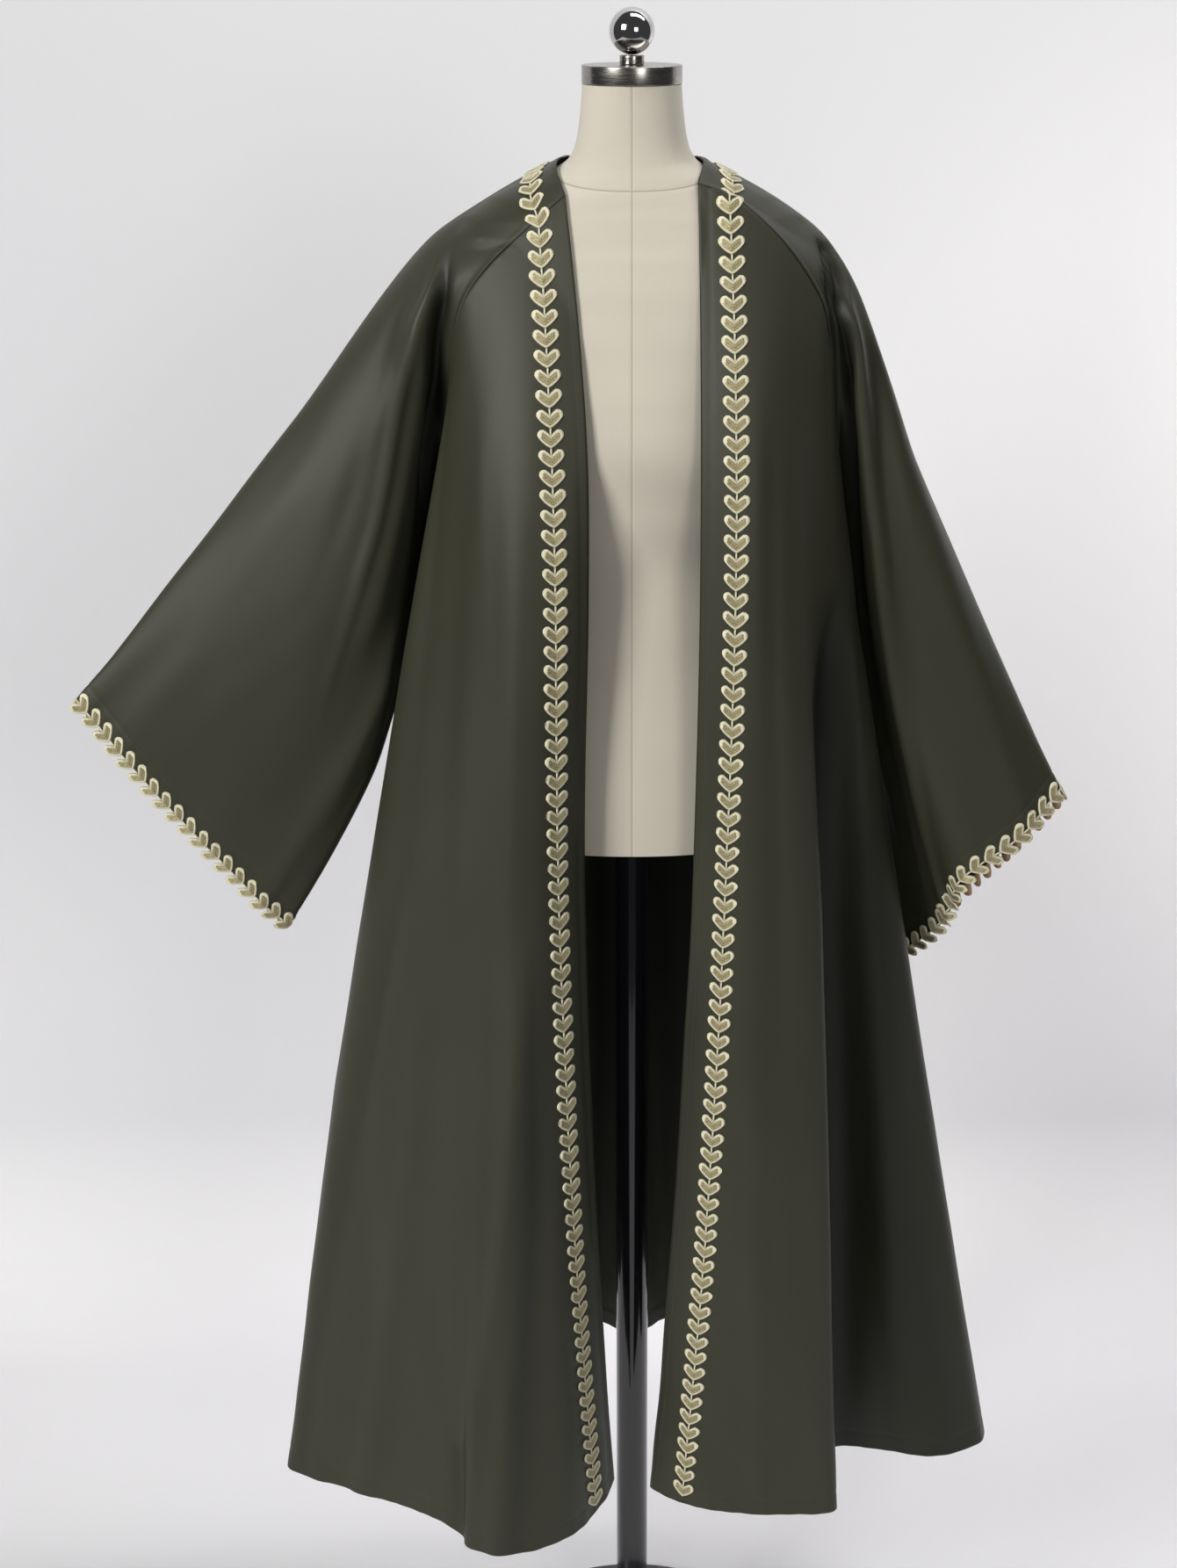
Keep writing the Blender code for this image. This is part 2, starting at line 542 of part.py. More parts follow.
def front_trim_rails(panels, side):
    """Rails of one trim from the centre back over the shoulder and down the front edge."""
    back = panels["back"]
    sleeve = panels["sleeve_" + side]
    front = panels["front_" + side]
    columns = len(back.points)
    middle = columns // 2
    nape = RAGLAN_BACK_STEPS if side == "right" else columns - 1 - RAGLAN_BACK_STEPS
    step = -1 if side == "right" else 1
    rails = []
    for i in range(middle, nape + step, step):
        rails.append((back.points[i, 1], back.points[i, 2], back.normals[i, 1] + back.normals[i, 2], NECK_LIFT))
    lower, upper = nape + step, nape
    inner_spot = (back.points[lower, 0] + back.points[upper, 0]) / 2
    rails.append((inner_spot, back.points[lower, 0], back.normals[lower, 0], NECK_LIFT))
    corner = len(front_offsets(side)) - 1
    for i in range(corner + NECK_STEPS, corner - 1, -1):
        normal = sleeve.normals[i, 1] + sleeve.normals[i, 2]
        rails.append((sleeve.points[i, 1], sleeve.points[i, 2], normal, NECK_LIFT))
    inner, outer = (1, 2) if side == "right" else (-2, -3)
    for j in range(len(BODY_ROWS)):
        normal = front.normals[inner, j] + front.normals[outer, j]
        lift = NECK_LIFT if j < 3 else TRIM_LIFT
        rails.append((front.points[inner, j], front.points[outer, j], normal, lift))
    aside = np.array([TRIM_END_GAP if side == "left" else -TRIM_END_GAP, 0.0, 0.0])
    inner_spot, outer_spot, normal, lift = rails[0]
    rails[0] = (inner_spot + aside, outer_spot + aside, normal, lift)
    lifted = [(a + unit(n) * lift, b + unit(n) * lift, n) for a, b, n, lift in rails]
    return [np.array(part) for part in zip(*lifted)]


def cuff_trim(name, panel, collection, material):
    """One heart to each step round the cuff, half on the cloth and half past its edge."""
    edge = panel.points[:, -1]
    above = panel.points[:, -2]
    normals = panel.normals[:, -1]
    count = len(edge)
    mesh = bmesh.new()
    rings = []
    for end in range(count - 1, -1, -1):  # tips point down the sleeve's front
        start = (end + 1) % count
        for step in HEART_PROFILE:
            centre = edge[start] + (edge[end] - edge[start]) * step.along
            along = unit(edge[end] - edge[start])
            top = above[start] + (above[end] - above[start]) * step.along
            outward = unit(normals[start] + (normals[end] - normals[start]) * step.along)
            up = top - centre
            up = unit(up - along * np.dot(up, along) * (0.0 if step.along == 0 else 1.0))
            outward = unit(outward - up * np.dot(outward, up))
            half = HEART_STEM + (HEART_HALF_WIDTH - HEART_STEM) * step.width
            base = centre + outward * CUFF_LIFT
            corners = []
            for lift in (0.0, TRIM_THICKNESS):
                for sign in (-1, 1):
                    corners.append(mesh.verts.new(base + sign * half * up + lift * outward))
            rings.append([corners[0], corners[1], corners[3], corners[2]])
    loft(mesh, rings, closed=True)
    return add_object(name, mesh, collection, material)


def add_object(name, mesh, collection, material):
    data = bpy.data.meshes.new(name)
    mesh.to_mesh(data)
    mesh.free()
    data.materials.append(material)
    data.shade_smooth()
    data.set_sharp_from_angle(angle=math.radians(40))
    thing = bpy.data.objects.new(name, data)
    collection.objects.link(thing)
    return thing


def make_material(name):
    colour, metallic, roughness = COLOURS[name]
    material = bpy.data.materials.new(name)
    material.use_nodes = True
    shader = material.node_tree.nodes["Principled BSDF"]
    shader.inputs["Base Color"].default_value = (*colour, 1.0)
    shader.inputs["Metallic"].default_value = metallic
    shader.inputs["Roughness"].default_value = roughness
    material.diffuse_color = (*colour, 1.0)
    return material


def build_torso(collection, material):
    """The padded form: a loft through its rings, closed at the neck and below the hips."""
    mesh = bmesh.new()
    rings = []
    for ring in FORM_RINGS:
        verts = []
        for k in range(FORM_SIDES):
            angle = 2 * math.pi * k / FORM_SIDES
            c, s = math.cos(angle), math.sin(angle)
            depth = ring.front if s < 0 else ring.back
            x = ring.half_width * math.copysign(abs(c) ** (2 / FORM_POWER), c)
            y = depth * math.copysign(abs(s) ** (2 / FORM_POWER), s)
            verts.append(mesh.verts.new((x, y, CAP_TOP - ring.drop)))
        rings.append(verts)
    for upper, lower in zip(rings, rings[1:]):
        for k in range(FORM_SIDES):
            n = (k + 1) % FORM_SIDES
            mesh.faces.new((lower[k], lower[n], upper[n], upper[k]))
    mesh.faces.new(rings[0])
    mesh.faces.new(rings[-1][::-1])
    bmesh.ops.recalc_face_normals(mesh, faces=mesh.faces)
    return add_object("form_torso", mesh, collection, material)


def build_disc(name, radius, bottom, top, edge, sides, collection, material):
    """Round plate or rod between two heights, with eased edges where edge is given."""
    mesh = bmesh.new()
    bmesh.ops.create_cone(mesh, cap_ends=True, segments=sides, radius1=radius, radius2=radius,
                          depth=top - bottom)
    bmesh.ops.translate(mesh, verts=mesh.verts, vec=(0, 0, (top + bottom) / 2))
    thing = add_object(name, mesh, collection, material)
    if edge:
        bevel = thing.modifiers.new("eased edges", "BEVEL")
        bevel.width = edge
        bevel.segments = 2
        bevel.limit_method = "ANGLE"
        bevel.angle_limit = math.radians(60)
    return thing


def build_ball(collection, material):
    mesh = bmesh.new()
    bmesh.ops.create_uvsphere(mesh, u_segments=20, v_segments=12, radius=BALL_RADIUS)
    height = CAP_TOP + FIT_GAP + COLLAR_HEIGHT + FIT_GAP + BALL_RADIUS
    bmesh.ops.translate(mesh, verts=mesh.verts, vec=(0, 0, height))
    return add_object("finial_ball", mesh, collection, material)


def build_stand(collection, materials):
    torso_bottom = CAP_TOP - FORM_RINGS[-1].drop
    build_disc("base", BASE_RADIUS, 0.0, BASE_THICKNESS, BASE_EDGE, 48, collection, materials["black"])
    build_disc("pole", POLE_RADIUS, BASE_THICKNESS + FIT_GAP, torso_bottom - FIT_GAP, 0, 32,
               collection, materials["black"])
    build_torso(collection, materials["linen"])
    cap_bottom = CAP_TOP - CAP_HEIGHT
    build_disc("neck_cap", CAP_RADIUS, cap_bottom, CAP_TOP, CAP_EDGE, 40, collection, materials["steel"])
    build_disc("finial_collar", COLLAR_RADIUS, CAP_TOP + FIT_GAP, CAP_TOP + FIT_GAP + COLLAR_HEIGHT, 0, 24,
               collection, materials["steel"])
    build_ball(collection, materials["chrome"])


def build_cloak(collection, materials):
    panels = cloak_panels()
    for panel in panels.values():
        panel.build(collection, materials["cloth"])
    for side in ("right", "left"):
        left, right, up = front_trim_rails(panels, side)
        _, count = heart_band("trim_" + side, left, right, up, HEART_PITCH, collection, materials["trim"])
        print("hearts on trim", side, count)
        cuff_trim("trim_cuff_" + side, panels["sleeve_" + side], collection, materials["trim"])


def main():
    for thing in list(bpy.data.objects):
        bpy.data.objects.remove(thing, do_unlink=True)
    collection = bpy.data.collections.new("abaya cloak on dress form")
    bpy.context.scene.collection.children.link(collection)
    materials = {name: make_material(name) for name in COLOURS}
    build_stand(collection, materials)
    build_cloak(collection, materials)


main()
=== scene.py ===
import math

import bmesh
import bpy
import numpy as np
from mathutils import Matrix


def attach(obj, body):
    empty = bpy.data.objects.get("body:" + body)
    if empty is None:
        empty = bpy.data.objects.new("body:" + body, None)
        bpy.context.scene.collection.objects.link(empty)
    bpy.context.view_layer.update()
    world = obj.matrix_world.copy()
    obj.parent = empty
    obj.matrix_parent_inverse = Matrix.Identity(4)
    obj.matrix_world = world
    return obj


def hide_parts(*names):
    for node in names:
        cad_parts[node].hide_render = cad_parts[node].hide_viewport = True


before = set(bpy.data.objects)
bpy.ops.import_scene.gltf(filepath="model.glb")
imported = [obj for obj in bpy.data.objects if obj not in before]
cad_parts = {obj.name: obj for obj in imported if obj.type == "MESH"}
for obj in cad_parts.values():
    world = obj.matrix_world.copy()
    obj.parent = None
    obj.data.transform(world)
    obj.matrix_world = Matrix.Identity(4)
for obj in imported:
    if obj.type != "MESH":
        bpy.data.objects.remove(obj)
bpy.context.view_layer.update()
print("packed model loaded:", len(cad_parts), "nodes")

capTop = 2.030  # height of the neck cap's top; every drop is counted down from here
studio = bpy.context.scene
looks = bpy.data.collections.new("abayaLooks")
studio.collection.children.link(looks)


# ---- small helpers for curves and surfaces
def unitRows(vectors):
    return vectors / np.maximum(np.linalg.norm(vectors, axis=-1, keepdims=True), 1e-12)


def knotSlopes(knots, rows, closed):
    last = len(knots) - 1
    slopes = np.zeros_like(rows)
    for k in range(1, last):
        behind, ahead = knots[k] - knots[k - 1], knots[k + 1] - knots[k]
        before = (rows[k] - rows[k - 1]) / behind
        after = (rows[k + 1] - rows[k]) / ahead
        slopes[k] = (before * ahead + after * behind) / (behind + ahead)
    if closed:
        step = knots[1] - knots[0] + knots[last] - knots[last - 1]
        slopes[0] = slopes[last] = (rows[1] - rows[last - 1]) / step
    else:
        slopes[0] = 2 * (rows[1] - rows[0]) / (knots[1] - knots[0]) - slopes[1]
        chord = (rows[last] - rows[last - 1]) / (knots[last] - knots[last - 1])
        slopes[last] = 2 * chord - slopes[last - 1]
    return slopes


def smoothRows(knots, rows, places, closed=False, tension=1.0):
    # smooth curve through every row, read at each place
    knots, rows, places = (np.asarray(part, float) for part in (knots, rows, places))
    slopes = knotSlopes(knots, rows, closed)
    i = np.clip(np.searchsorted(knots, places, side="right") - 1, 0, len(knots) - 2)
    wide = (-1,) + (1,) * (rows.ndim - 1)
    span = (knots[i + 1] - knots[i]).reshape(wide)
    f = ((places - knots[i]) / (knots[i + 1] - knots[i])).reshape(wide)
    bend = tension * span
    return ((2 * f**3 - 3 * f**2 + 1) * rows[i] + (f**3 - 2 * f**2 + f) * bend * slopes[i]
            + (3 * f**2 - 2 * f**3) * rows[i + 1] + (f**3 - f**2) * bend * slopes[i + 1])


def fromDrop(place):
    return (place[0], place[1], capTop - place[2])


def smoothStep(values, low, high):
    f = np.clip((values - low) / (high - low), 0, 1)
    return f * f * (3 - 2 * f)


# ---- small helpers for meshes and objects
def addPiece(name, mesh):
    piece = bpy.data.objects.new(name, mesh)
    looks.objects.link(piece)
    return piece


def smoothFaces(mesh):
    mesh.polygons.foreach_set("use_smooth", np.ones(len(mesh.polygons), bool))


def writeOutwards(shape, mesh):
    # the edited shape goes into the mesh with its faces turned outwards
    bmesh.ops.recalc_face_normals(shape, faces=shape.faces)
    shape.to_mesh(mesh)
    shape.free()


def markMesh(mesh, label, kind, domain, values):
    # a named number or vector at every point or face
    part = "vector" if kind == "FLOAT_VECTOR" else "value"
    mesh.attributes.new(label, kind, domain).data.foreach_set(part, values)


def cellCorners(columns, rows, ringed=False):
    # corner numbers of each cell of a grid, round the ring too where it closes
    number = np.arange(columns * rows).reshape(columns, rows)
    beside = np.roll(number, -1, axis=0) if ringed else number[1:]
    here = number if ringed else number[:-1]
    return np.stack([here[:, :-1], beside[:, :-1], beside[:, 1:], here[:, 1:]], -1).reshape(-1, 4)


# ---- the dress form under the cloak
formSizes = {
    "power": 2.2,        # 2 would be an ellipse, more is squarer
    "clothGap": 0.0047,  # cloth's outer face to the form
    "columns": 176,
    "closeRows": (70, 0.2), "plainRows": 120,    # rows of the mesh, close together down to the shoulders
    "rings": [           # drop, half width, front, back
        (0.0193, 0.0520, 0.050, 0.050), (0.055, 0.0550, 0.052, 0.054), (0.080, 0.0595, 0.055, 0.060),
        (0.095, 0.0670, 0.058, 0.066), (0.115, 0.1000, 0.064, 0.075), (0.135, 0.1400, 0.071, 0.083),
        (0.155, 0.1720, 0.078, 0.089), (0.172, 0.1900, 0.083, 0.092), (0.195, 0.1970, 0.090, 0.095),
        (0.230, 0.1950, 0.099, 0.099), (0.280, 0.1850, 0.110, 0.102), (0.340, 0.1740, 0.121, 0.102),
        (0.390, 0.1650, 0.125, 0.098), (0.450, 0.1480, 0.112, 0.088), (0.520, 0.1280, 0.095, 0.078),
        (0.600, 0.1420, 0.100, 0.090), (0.680, 0.1600, 0.106, 0.104), (0.760, 0.1700, 0.108, 0.112),
        (0.840, 0.1700, 0.106, 0.112),
    ],
    "panelLine": 0.62,   # side panel seams, as a share of the half width
    "panelTop": 0.24,
    "neckSeam": (0.1030, 0.0190, 0.0060),  # drop at the sides, extra at the front, less at the back
}


def formReach(points):
    # 1 on the form's skin, more outside it
    rings = np.array(formSizes["rings"])
    half, front, back = (np.interp(capTop - points[:, 2], rings[:, 0], rings[:, k]) for k in (1, 2, 3))
    depth = np.where(points[:, 1] < 0, front, back)
    power = formSizes["power"]
    return (np.abs(points[:, 0] / half)**power + np.abs(points[:, 1] / depth)**power)**(1 / power)


def clearOfForm(grid, gap=formSizes["clothGap"]):
    # cloth that would sink into the form is lifted to lie on it
    shape = grid.shape
    points = grid.reshape(-1, 3).copy()
    drops = capTop - points[:, 2]
    near = np.where((drops >= formSizes["rings"][0][0]) & (drops <= formSizes["rings"][-1][0]))[0]
    step, passes = 0.0005, 4
    for _ in range(passes):
        spots = points[near]
        here = formReach(spots)
        slope = np.stack([(formReach(spots + axis * step) - here) / step for axis in np.eye(3)], axis=1)
        size = np.linalg.norm(slope, axis=1)
        lack = np.clip(gap - (here - 1) / size, 0, None)
        points[near] = spots + slope / size[:, None] * lack[:, None]
    return points.reshape(shape)


# ---- the cloak's lie: one row for each fold line, from the right front edge round the back
bodyLines = [
    # name, seam (x, y, drop), 14 % down (x, y), half way (x, y), hem (x, y, drop)
    ("edgeRight", (-0.068, -0.062, 0.127), (-0.048, -0.128), (-0.048, -0.139), (-0.017, -0.120, 1.650)),
    ("trimRight", (-0.096, -0.068, 0.149), (-0.084, -0.138), (-0.080, -0.160), (-0.044, -0.147, 1.674)),
    ("slopeRight", (-0.122, -0.072, 0.171), (-0.110, -0.142), (-0.104, -0.178), (-0.076, -0.188, 1.680)),
    ("noseRight", (-0.145, -0.074, 0.192), (-0.132, -0.140), (-0.130, -0.188), (-0.143, -0.217, 1.688)),
    ("lobeRight", (-0.167, -0.074, 0.218), (-0.152, -0.132), (-0.157, -0.180), (-0.192, -0.197, 1.686)),
    ("tuckRight", (-0.179, -0.072, 0.240), (-0.167, -0.121), (-0.179, -0.170), (-0.205, -0.184, 1.680)),
    ("runRight", (-0.186, -0.068, 0.268), (-0.184, -0.108), (-0.208, -0.155), (-0.240, -0.170, 1.665)),
    ("wingRight", (-0.191, -0.062, 0.308), (-0.209, -0.086), (-0.262, -0.121), (-0.336, -0.130, 1.655)),
    ("turnRight", (-0.199, -0.050, 0.363), (-0.236, -0.060), (-0.321, -0.060), (-0.418, -0.100, 1.650)),
    ("behindRight", (-0.207, -0.022, 0.470), (-0.232, -0.012), (-0.316, -0.002), (-0.410, -0.040, 1.650)),
    ("sideRight", (-0.215, 0.014, 0.590), (-0.231, 0.028), (-0.302, 0.050), (-0.372, 0.040, 1.650)),
    ("backR3", (-0.205, 0.058, 0.440), (-0.219, 0.083), (-0.268, 0.128), (-0.352, 0.160, 1.650)),
    ("backR2", (-0.188, 0.088, 0.300), (-0.193, 0.115), (-0.215, 0.158), (-0.262, 0.186, 1.650)),
    ("backR1", (-0.140, 0.098, 0.190), (-0.147, 0.130), (-0.168, 0.192), (-0.200, 0.268, 1.655)),
    ("napeRight", (-0.062, 0.072, 0.098), (-0.092, 0.124), (-0.108, 0.172), (-0.118, 0.222, 1.655)),
    ("backMidR", (-0.032, 0.076, 0.092), (-0.046, 0.123), (-0.054, 0.184), (-0.060, 0.276, 1.660)),
    ("centre", (0.000, 0.077, 0.090), (0.000, 0.121), (0.000, 0.170), (0.004, 0.228, 1.660)),
    ("backMidL", (0.032, 0.076, 0.092), (0.046, 0.123), (0.056, 0.186), (0.070, 0.284, 1.660)),
    ("napeLeft", (0.062, 0.072, 0.098), (0.092, 0.124), (0.112, 0.172), (0.134, 0.226, 1.655)),
    ("backL1", (0.140, 0.098, 0.190), (0.149, 0.130), (0.174, 0.188), (0.214, 0.258, 1.655)),
    ("backL2", (0.190, 0.088, 0.300), (0.202, 0.115), (0.232, 0.156), (0.286, 0.196, 1.650)),
    ("backL3", (0.210, 0.058, 0.440), (0.231, 0.084), (0.292, 0.128), (0.378, 0.158, 1.650)),
    ("sideLeft", (0.222, 0.014, 0.590), (0.240, 0.030), (0.326, 0.060), (0.428, 0.048, 1.648)),
    ("turnLeft", (0.220, -0.022, 0.470), (0.256, -0.014), (0.333, -0.004), (0.440, -0.030, 1.648)),
    ("flankLeft", (0.2185, -0.044, 0.380), (0.246, -0.040), (0.290, -0.048), (0.372, -0.068, 1.650)),
    ("recessLeft", (0.213, -0.056, 0.310), (0.2225, -0.064), (0.232, -0.062), (0.262, -0.046, 1.650)),
    ("returnLeft", (0.208, -0.064, 0.280), (0.2065, -0.088), (0.202, -0.090), (0.212, -0.086, 1.650)),
    ("creaseLeft", (0.198, -0.070, 0.232), (0.186, -0.112), (0.2105, -0.135), (0.242, -0.171, 1.650)),
    ("broadLeft", (0.164, -0.075, 0.180), (0.158, -0.134), (0.174, -0.157), (0.190, -0.182, 1.652)),
    ("plainLeft", (0.128, -0.074, 0.144), (0.130, -0.143), (0.131, -0.163), (0.124, -0.179, 1.652)),
    ("trimLeft", (0.100, -0.068, 0.124), (0.1075, -0.139), (0.102, -0.156), (0.060, -0.160, 1.652)),
    ("edgeLeft", (0.068, -0.060, 0.1135), (0.071, -0.127), (0.066, -0.142), (0.026, -0.128, 1.650)),
]
lineNames = [line[0] for line in bodyLines]
bodyStations = (0.0, 0.14, 0.5, 1.0)


def lineStations(line):
    seam, hem = fromDrop(line[1]), fromDrop(line[4])
    middle = [(*line[2 + k], seam[2] + bodyStations[1 + k] * (hem[2] - seam[2])) for k in (0, 1)]
    return [seam, *middle, hem]


bodyPlaces = np.array([lineStations(line) for line in bodyLines])


def bodySurface(across, down):
    stations = smoothRows(range(len(bodyLines)), bodyPlaces, across)
    return smoothRows(bodyStations, stations.transpose(1, 0, 2), down).transpose(1, 0, 2)


sleeveLines = {
    # name, body line it starts on, root, middle, cuff (x, y, drop); underarm, up the front, down the back
    "right": [
        ("underarm", "sideRight", (-0.247, 0.004, 0.642), (-0.292, 0.000, 0.772), (-0.400, 0.000, 0.966)),
        ("lowerFront", "behindRight", (-0.233, -0.002, 0.530), (-0.277, -0.022, 0.690), (-0.425, -0.014, 0.936)),
        ("valley", "wingRight", (-0.208, -0.012, 0.390), (-0.268, -0.034, 0.600), (-0.462, -0.020, 0.891)),
        ("ridge", "noseRight", (-0.228, -0.055, 0.275), (-0.305, -0.062, 0.530), (-0.510, -0.024, 0.833)),
        ("upperFront", "edgeRight", (-0.214, -0.032, 0.195), (-0.345, -0.044, 0.430), (-0.576, -0.018, 0.753)),
        ("top", None, (-0.207, 0.006, 0.170), (-0.369, 0.004, 0.370), (-0.628, 0.000, 0.690)),
        ("upperBack", "napeRight", (-0.212, 0.046, 0.200), (-0.345, 0.046, 0.445), (-0.576, 0.018, 0.753)),
        ("backRidge", "backR1", (-0.226, 0.072, 0.310), (-0.308, 0.056, 0.560), (-0.510, 0.022, 0.833)),
        ("lowerBack", "backR3", (-0.236, 0.046, 0.515), (-0.278, 0.034, 0.690), (-0.435, 0.014, 0.924)),
    ],
    "left": [
        ("underarm", "sideLeft", (0.256, 0.026, 0.650), (0.285, 0.070, 0.800), (0.322, 0.094, 1.042)),
        ("lowerFront", "turnLeft", (0.244, 0.006, 0.540), (0.270, 0.022, 0.700), (0.351, 0.049, 1.001)),
        ("valley", "flankLeft", (0.224, -0.016, 0.400), (0.254, -0.008, 0.580), (0.372, 0.014, 0.955)),
        ("ridge", "creaseLeft", (0.233, -0.058, 0.290), (0.272, -0.056, 0.530), (0.378, -0.034, 0.895)),
        ("upperFront", "edgeLeft", (0.222, -0.034, 0.205), (0.303, -0.048, 0.440), (0.436, -0.046, 0.842)),
        ("top", None, (0.200, 0.004, 0.170), (0.309, 0.000, 0.412), (0.490, -0.010, 0.793)),
        ("upperBack", "napeLeft", (0.214, 0.046, 0.205), (0.300, 0.056, 0.470), (0.458, 0.034, 0.861)),
        ("backRidge", "backL1", (0.228, 0.074, 0.310), (0.286, 0.092, 0.580), (0.404, 0.084, 0.945)),
        ("lowerBack", "backL3", (0.240, 0.062, 0.530), (0.276, 0.094, 0.710), (0.352, 0.116, 1.022)),
    ],
}
sleeveStations = (0.0, 0.2, 0.5, 1.0)
sleeveTension = 0.7
topLine = 5
neckTops = {"right": (-0.0745, 0.006, 0.0985), "left": (0.0705, 0.006, 0.0975)}


def raglanLoop(side, around):
    # where the sleeve meets the fronts, the neckline and the back
    lines = sleeveLines[side]
    starts = [lineNames.index(line[1]) if line[1] else 0 for line in lines]
    onFront = np.interp(around, range(topLine), starts[:topLine])
    onBack = np.interp(around, range(topLine + 1, len(lines) + 1), starts[topLine + 1:] + starts[:1])
    loop = bodySurface(np.where(around < topLine, onFront, onBack), [0.0])[:, 0]
    overTop = (around >= topLine - 1) & (around <= topLine + 1)
    ends = bodySurface([starts[topLine - 1], starts[topLine + 1]], [0.0])[:, 0]
    arch = [ends[0], fromDrop(neckTops[side]), ends[1]]
    loop[overTop] = smoothRows((topLine - 1, topLine, topLine + 1), arch, around[overTop])
    return loop


def sleeveSurface(side, around, along):
    lines = sleeveLines[side]
    rows = [raglanLoop(side, np.asarray(around, float))]
    for part in (2, 3, 4):
        ring = [fromDrop(line[part]) for line in lines]
        rows.append(smoothRows(range(len(lines) + 1), ring + ring[:1], np.mod(around, len(lines)), closed=True))
    return smoothRows(sleeveStations, rows, along, tension=sleeveTension).transpose(1, 0, 2)


# ---- shader node groups that several finishes share
def groupTree(name, takes, gives):
    tree = bpy.data.node_groups.new(name, "ShaderNodeTree")
    for label, kind, value in takes:
        socket = tree.interface.new_socket(label, in_out="INPUT", socket_type=kind)
        if value is not None:
            socket.default_value = value
    for label, kind in gives:
        tree.interface.new_socket(label, in_out="OUTPUT", socket_type=kind)
    return tree, tree.nodes.new("NodeGroupInput"), tree.nodes.new("NodeGroupOutput")


def addNode(tree, kind, feeds=None, **values):
    # one node with its settings, and its inputs fed by sockets or plain numbers
    node = tree.nodes.new(kind)
    for label, value in values.items():
        setattr(node, label, value)
    for place, feed in (feeds or {}).items():
        if isinstance(feed, bpy.types.NodeSocket):
            tree.links.new(feed, node.inputs[place])
        else:
            node.inputs[place].default_value = feed
    return node


def doMath(tree, operation, first, second=0.0, third=0.0):
    node = addNode(tree, "ShaderNodeMath", {0: first, 1: second, 2: third}, operation=operation)
    return node.outputs[0]


def mixColours(tree, amount, first, second, blend="MIX"):
    node = addNode(tree, "ShaderNodeMix", {0: amount, 6: first, 7: second}, data_type="RGBA", blend_type=blend)
    return node.outputs[2]


def rescale(tree, value, low, high, start=0.0, finish=1.0):
    feeds = {"Value": value, "From Min": low, "From Max": high, "To Min": start, "To Max": finish}
    return addNode(tree, "ShaderNodeMapRange", feeds).outputs[0]


def noise(tree, place, scale, detail, roughness):
    feeds = {"Vector": place, "Scale": scale, "Detail": detail, "Roughness": roughness}
    return addNode(tree, "ShaderNodeTexNoise", feeds).outputs["Fac"]


def splitVector(tree, vector):
    return addNode(tree, "ShaderNodeSeparateXYZ", {0: vector}).outputs


def makeWeaveGroup():
    # crossing threads with a crepe grain: height, and a tone from it that paints highlight on the crossings and shade
    # in the dips
    tree, given, wanted = groupTree("threadWeave", [
        ("Place", "NodeSocketVector", None), ("Thread", "NodeSocketFloat", 0.0005),
        ("Crepe", "NodeSocketFloat", 0.5)], [("Height", "NodeSocketFloat"), ("Tone", "NodeSocketFloat")])
    place = given.outputs["Place"]
    turns = doMath(tree, "DIVIDE", 2 * math.pi, given.outputs["Thread"])
    x, y = splitVector(tree, place)[:2]
    warp, weft = (doMath(tree, "SINE", doMath(tree, "MULTIPLY", part, turns)) for part in (x, y))
    weave = doMath(tree, "MULTIPLY_ADD", doMath(tree, "MULTIPLY", warp, weft), 0.5, 0.5)
    crepe = doMath(tree, "MULTIPLY", noise(tree, place, 900.0, 2.0, 0.6), given.outputs["Crepe"])
    height = doMath(tree, "ADD", weave, crepe)
    tree.links.new(height, wanted.inputs["Height"])
    tree.links.new(doMath(tree, "MULTIPLY_ADD", height, 0.5, 0.2), wanted.inputs["Tone"])
    return tree


def makeMottleGroup():
    # slow and quick variation of one colour, as in dyed or painted stuff
    tree, given, wanted = groupTree("softMottle", [
        ("Place", "NodeSocketVector", None), ("Light", "NodeSocketColor", (1, 1, 1, 1)),
        ("Dark", "NodeSocketColor", (0, 0, 0, 1)), ("Broad", "NodeSocketFloat", 4.0),
        ("Fine", "NodeSocketFloat", 240.0), ("Fineness", "NodeSocketFloat", 0.35)],
        [("Colour", "NodeSocketColor"), ("Mask", "NodeSocketFloat")])
    place, light, dark = (given.outputs[label] for label in ("Place", "Light", "Dark"))
    broad = noise(tree, place, given.outputs["Broad"], 3.0, 0.5)
    fine = noise(tree, place, given.outputs["Fine"], 2.0, 0.6)
    both = addNode(tree, "ShaderNodeMix", {"Factor": given.outputs["Fineness"], 2: broad, 3: fine}, data_type="FLOAT")
    spread = rescale(tree, both.outputs[0], 0.3, 0.7)
    tree.links.new(mixColours(tree, spread, dark, light), wanted.inputs["Colour"])
    tree.links.new(spread, wanted.inputs["Mask"])
    return tree


def makeScuffGroup():
    # faint rubbed streaks on hard, shiny parts
    tree, given, wanted = groupTree("faintScuffs", [
        ("Place", "NodeSocketVector", None), ("Stretch", "NodeSocketVector", (1.0, 1.0, 1.0)),
        ("Smooth", "NodeSocketFloat", 0.2), ("Worn", "NodeSocketFloat", 0.35)],
        [("Roughness", "NodeSocketFloat"), ("Height", "NodeSocketFloat")])
    drawn = addNode(tree, "ShaderNodeVectorMath", {0: given.outputs["Place"], 1: given.outputs["Stretch"]},
                    operation="MULTIPLY")
    streaks = noise(tree, drawn.outputs[0], 60.0, 4.0, 0.65)
    rough = rescale(tree, streaks, 0.35, 0.7, given.outputs["Smooth"], given.outputs["Worn"])
    tree.links.new(rough, wanted.inputs["Roughness"])
    tree.links.new(streaks, wanted.inputs["Height"])
    return tree


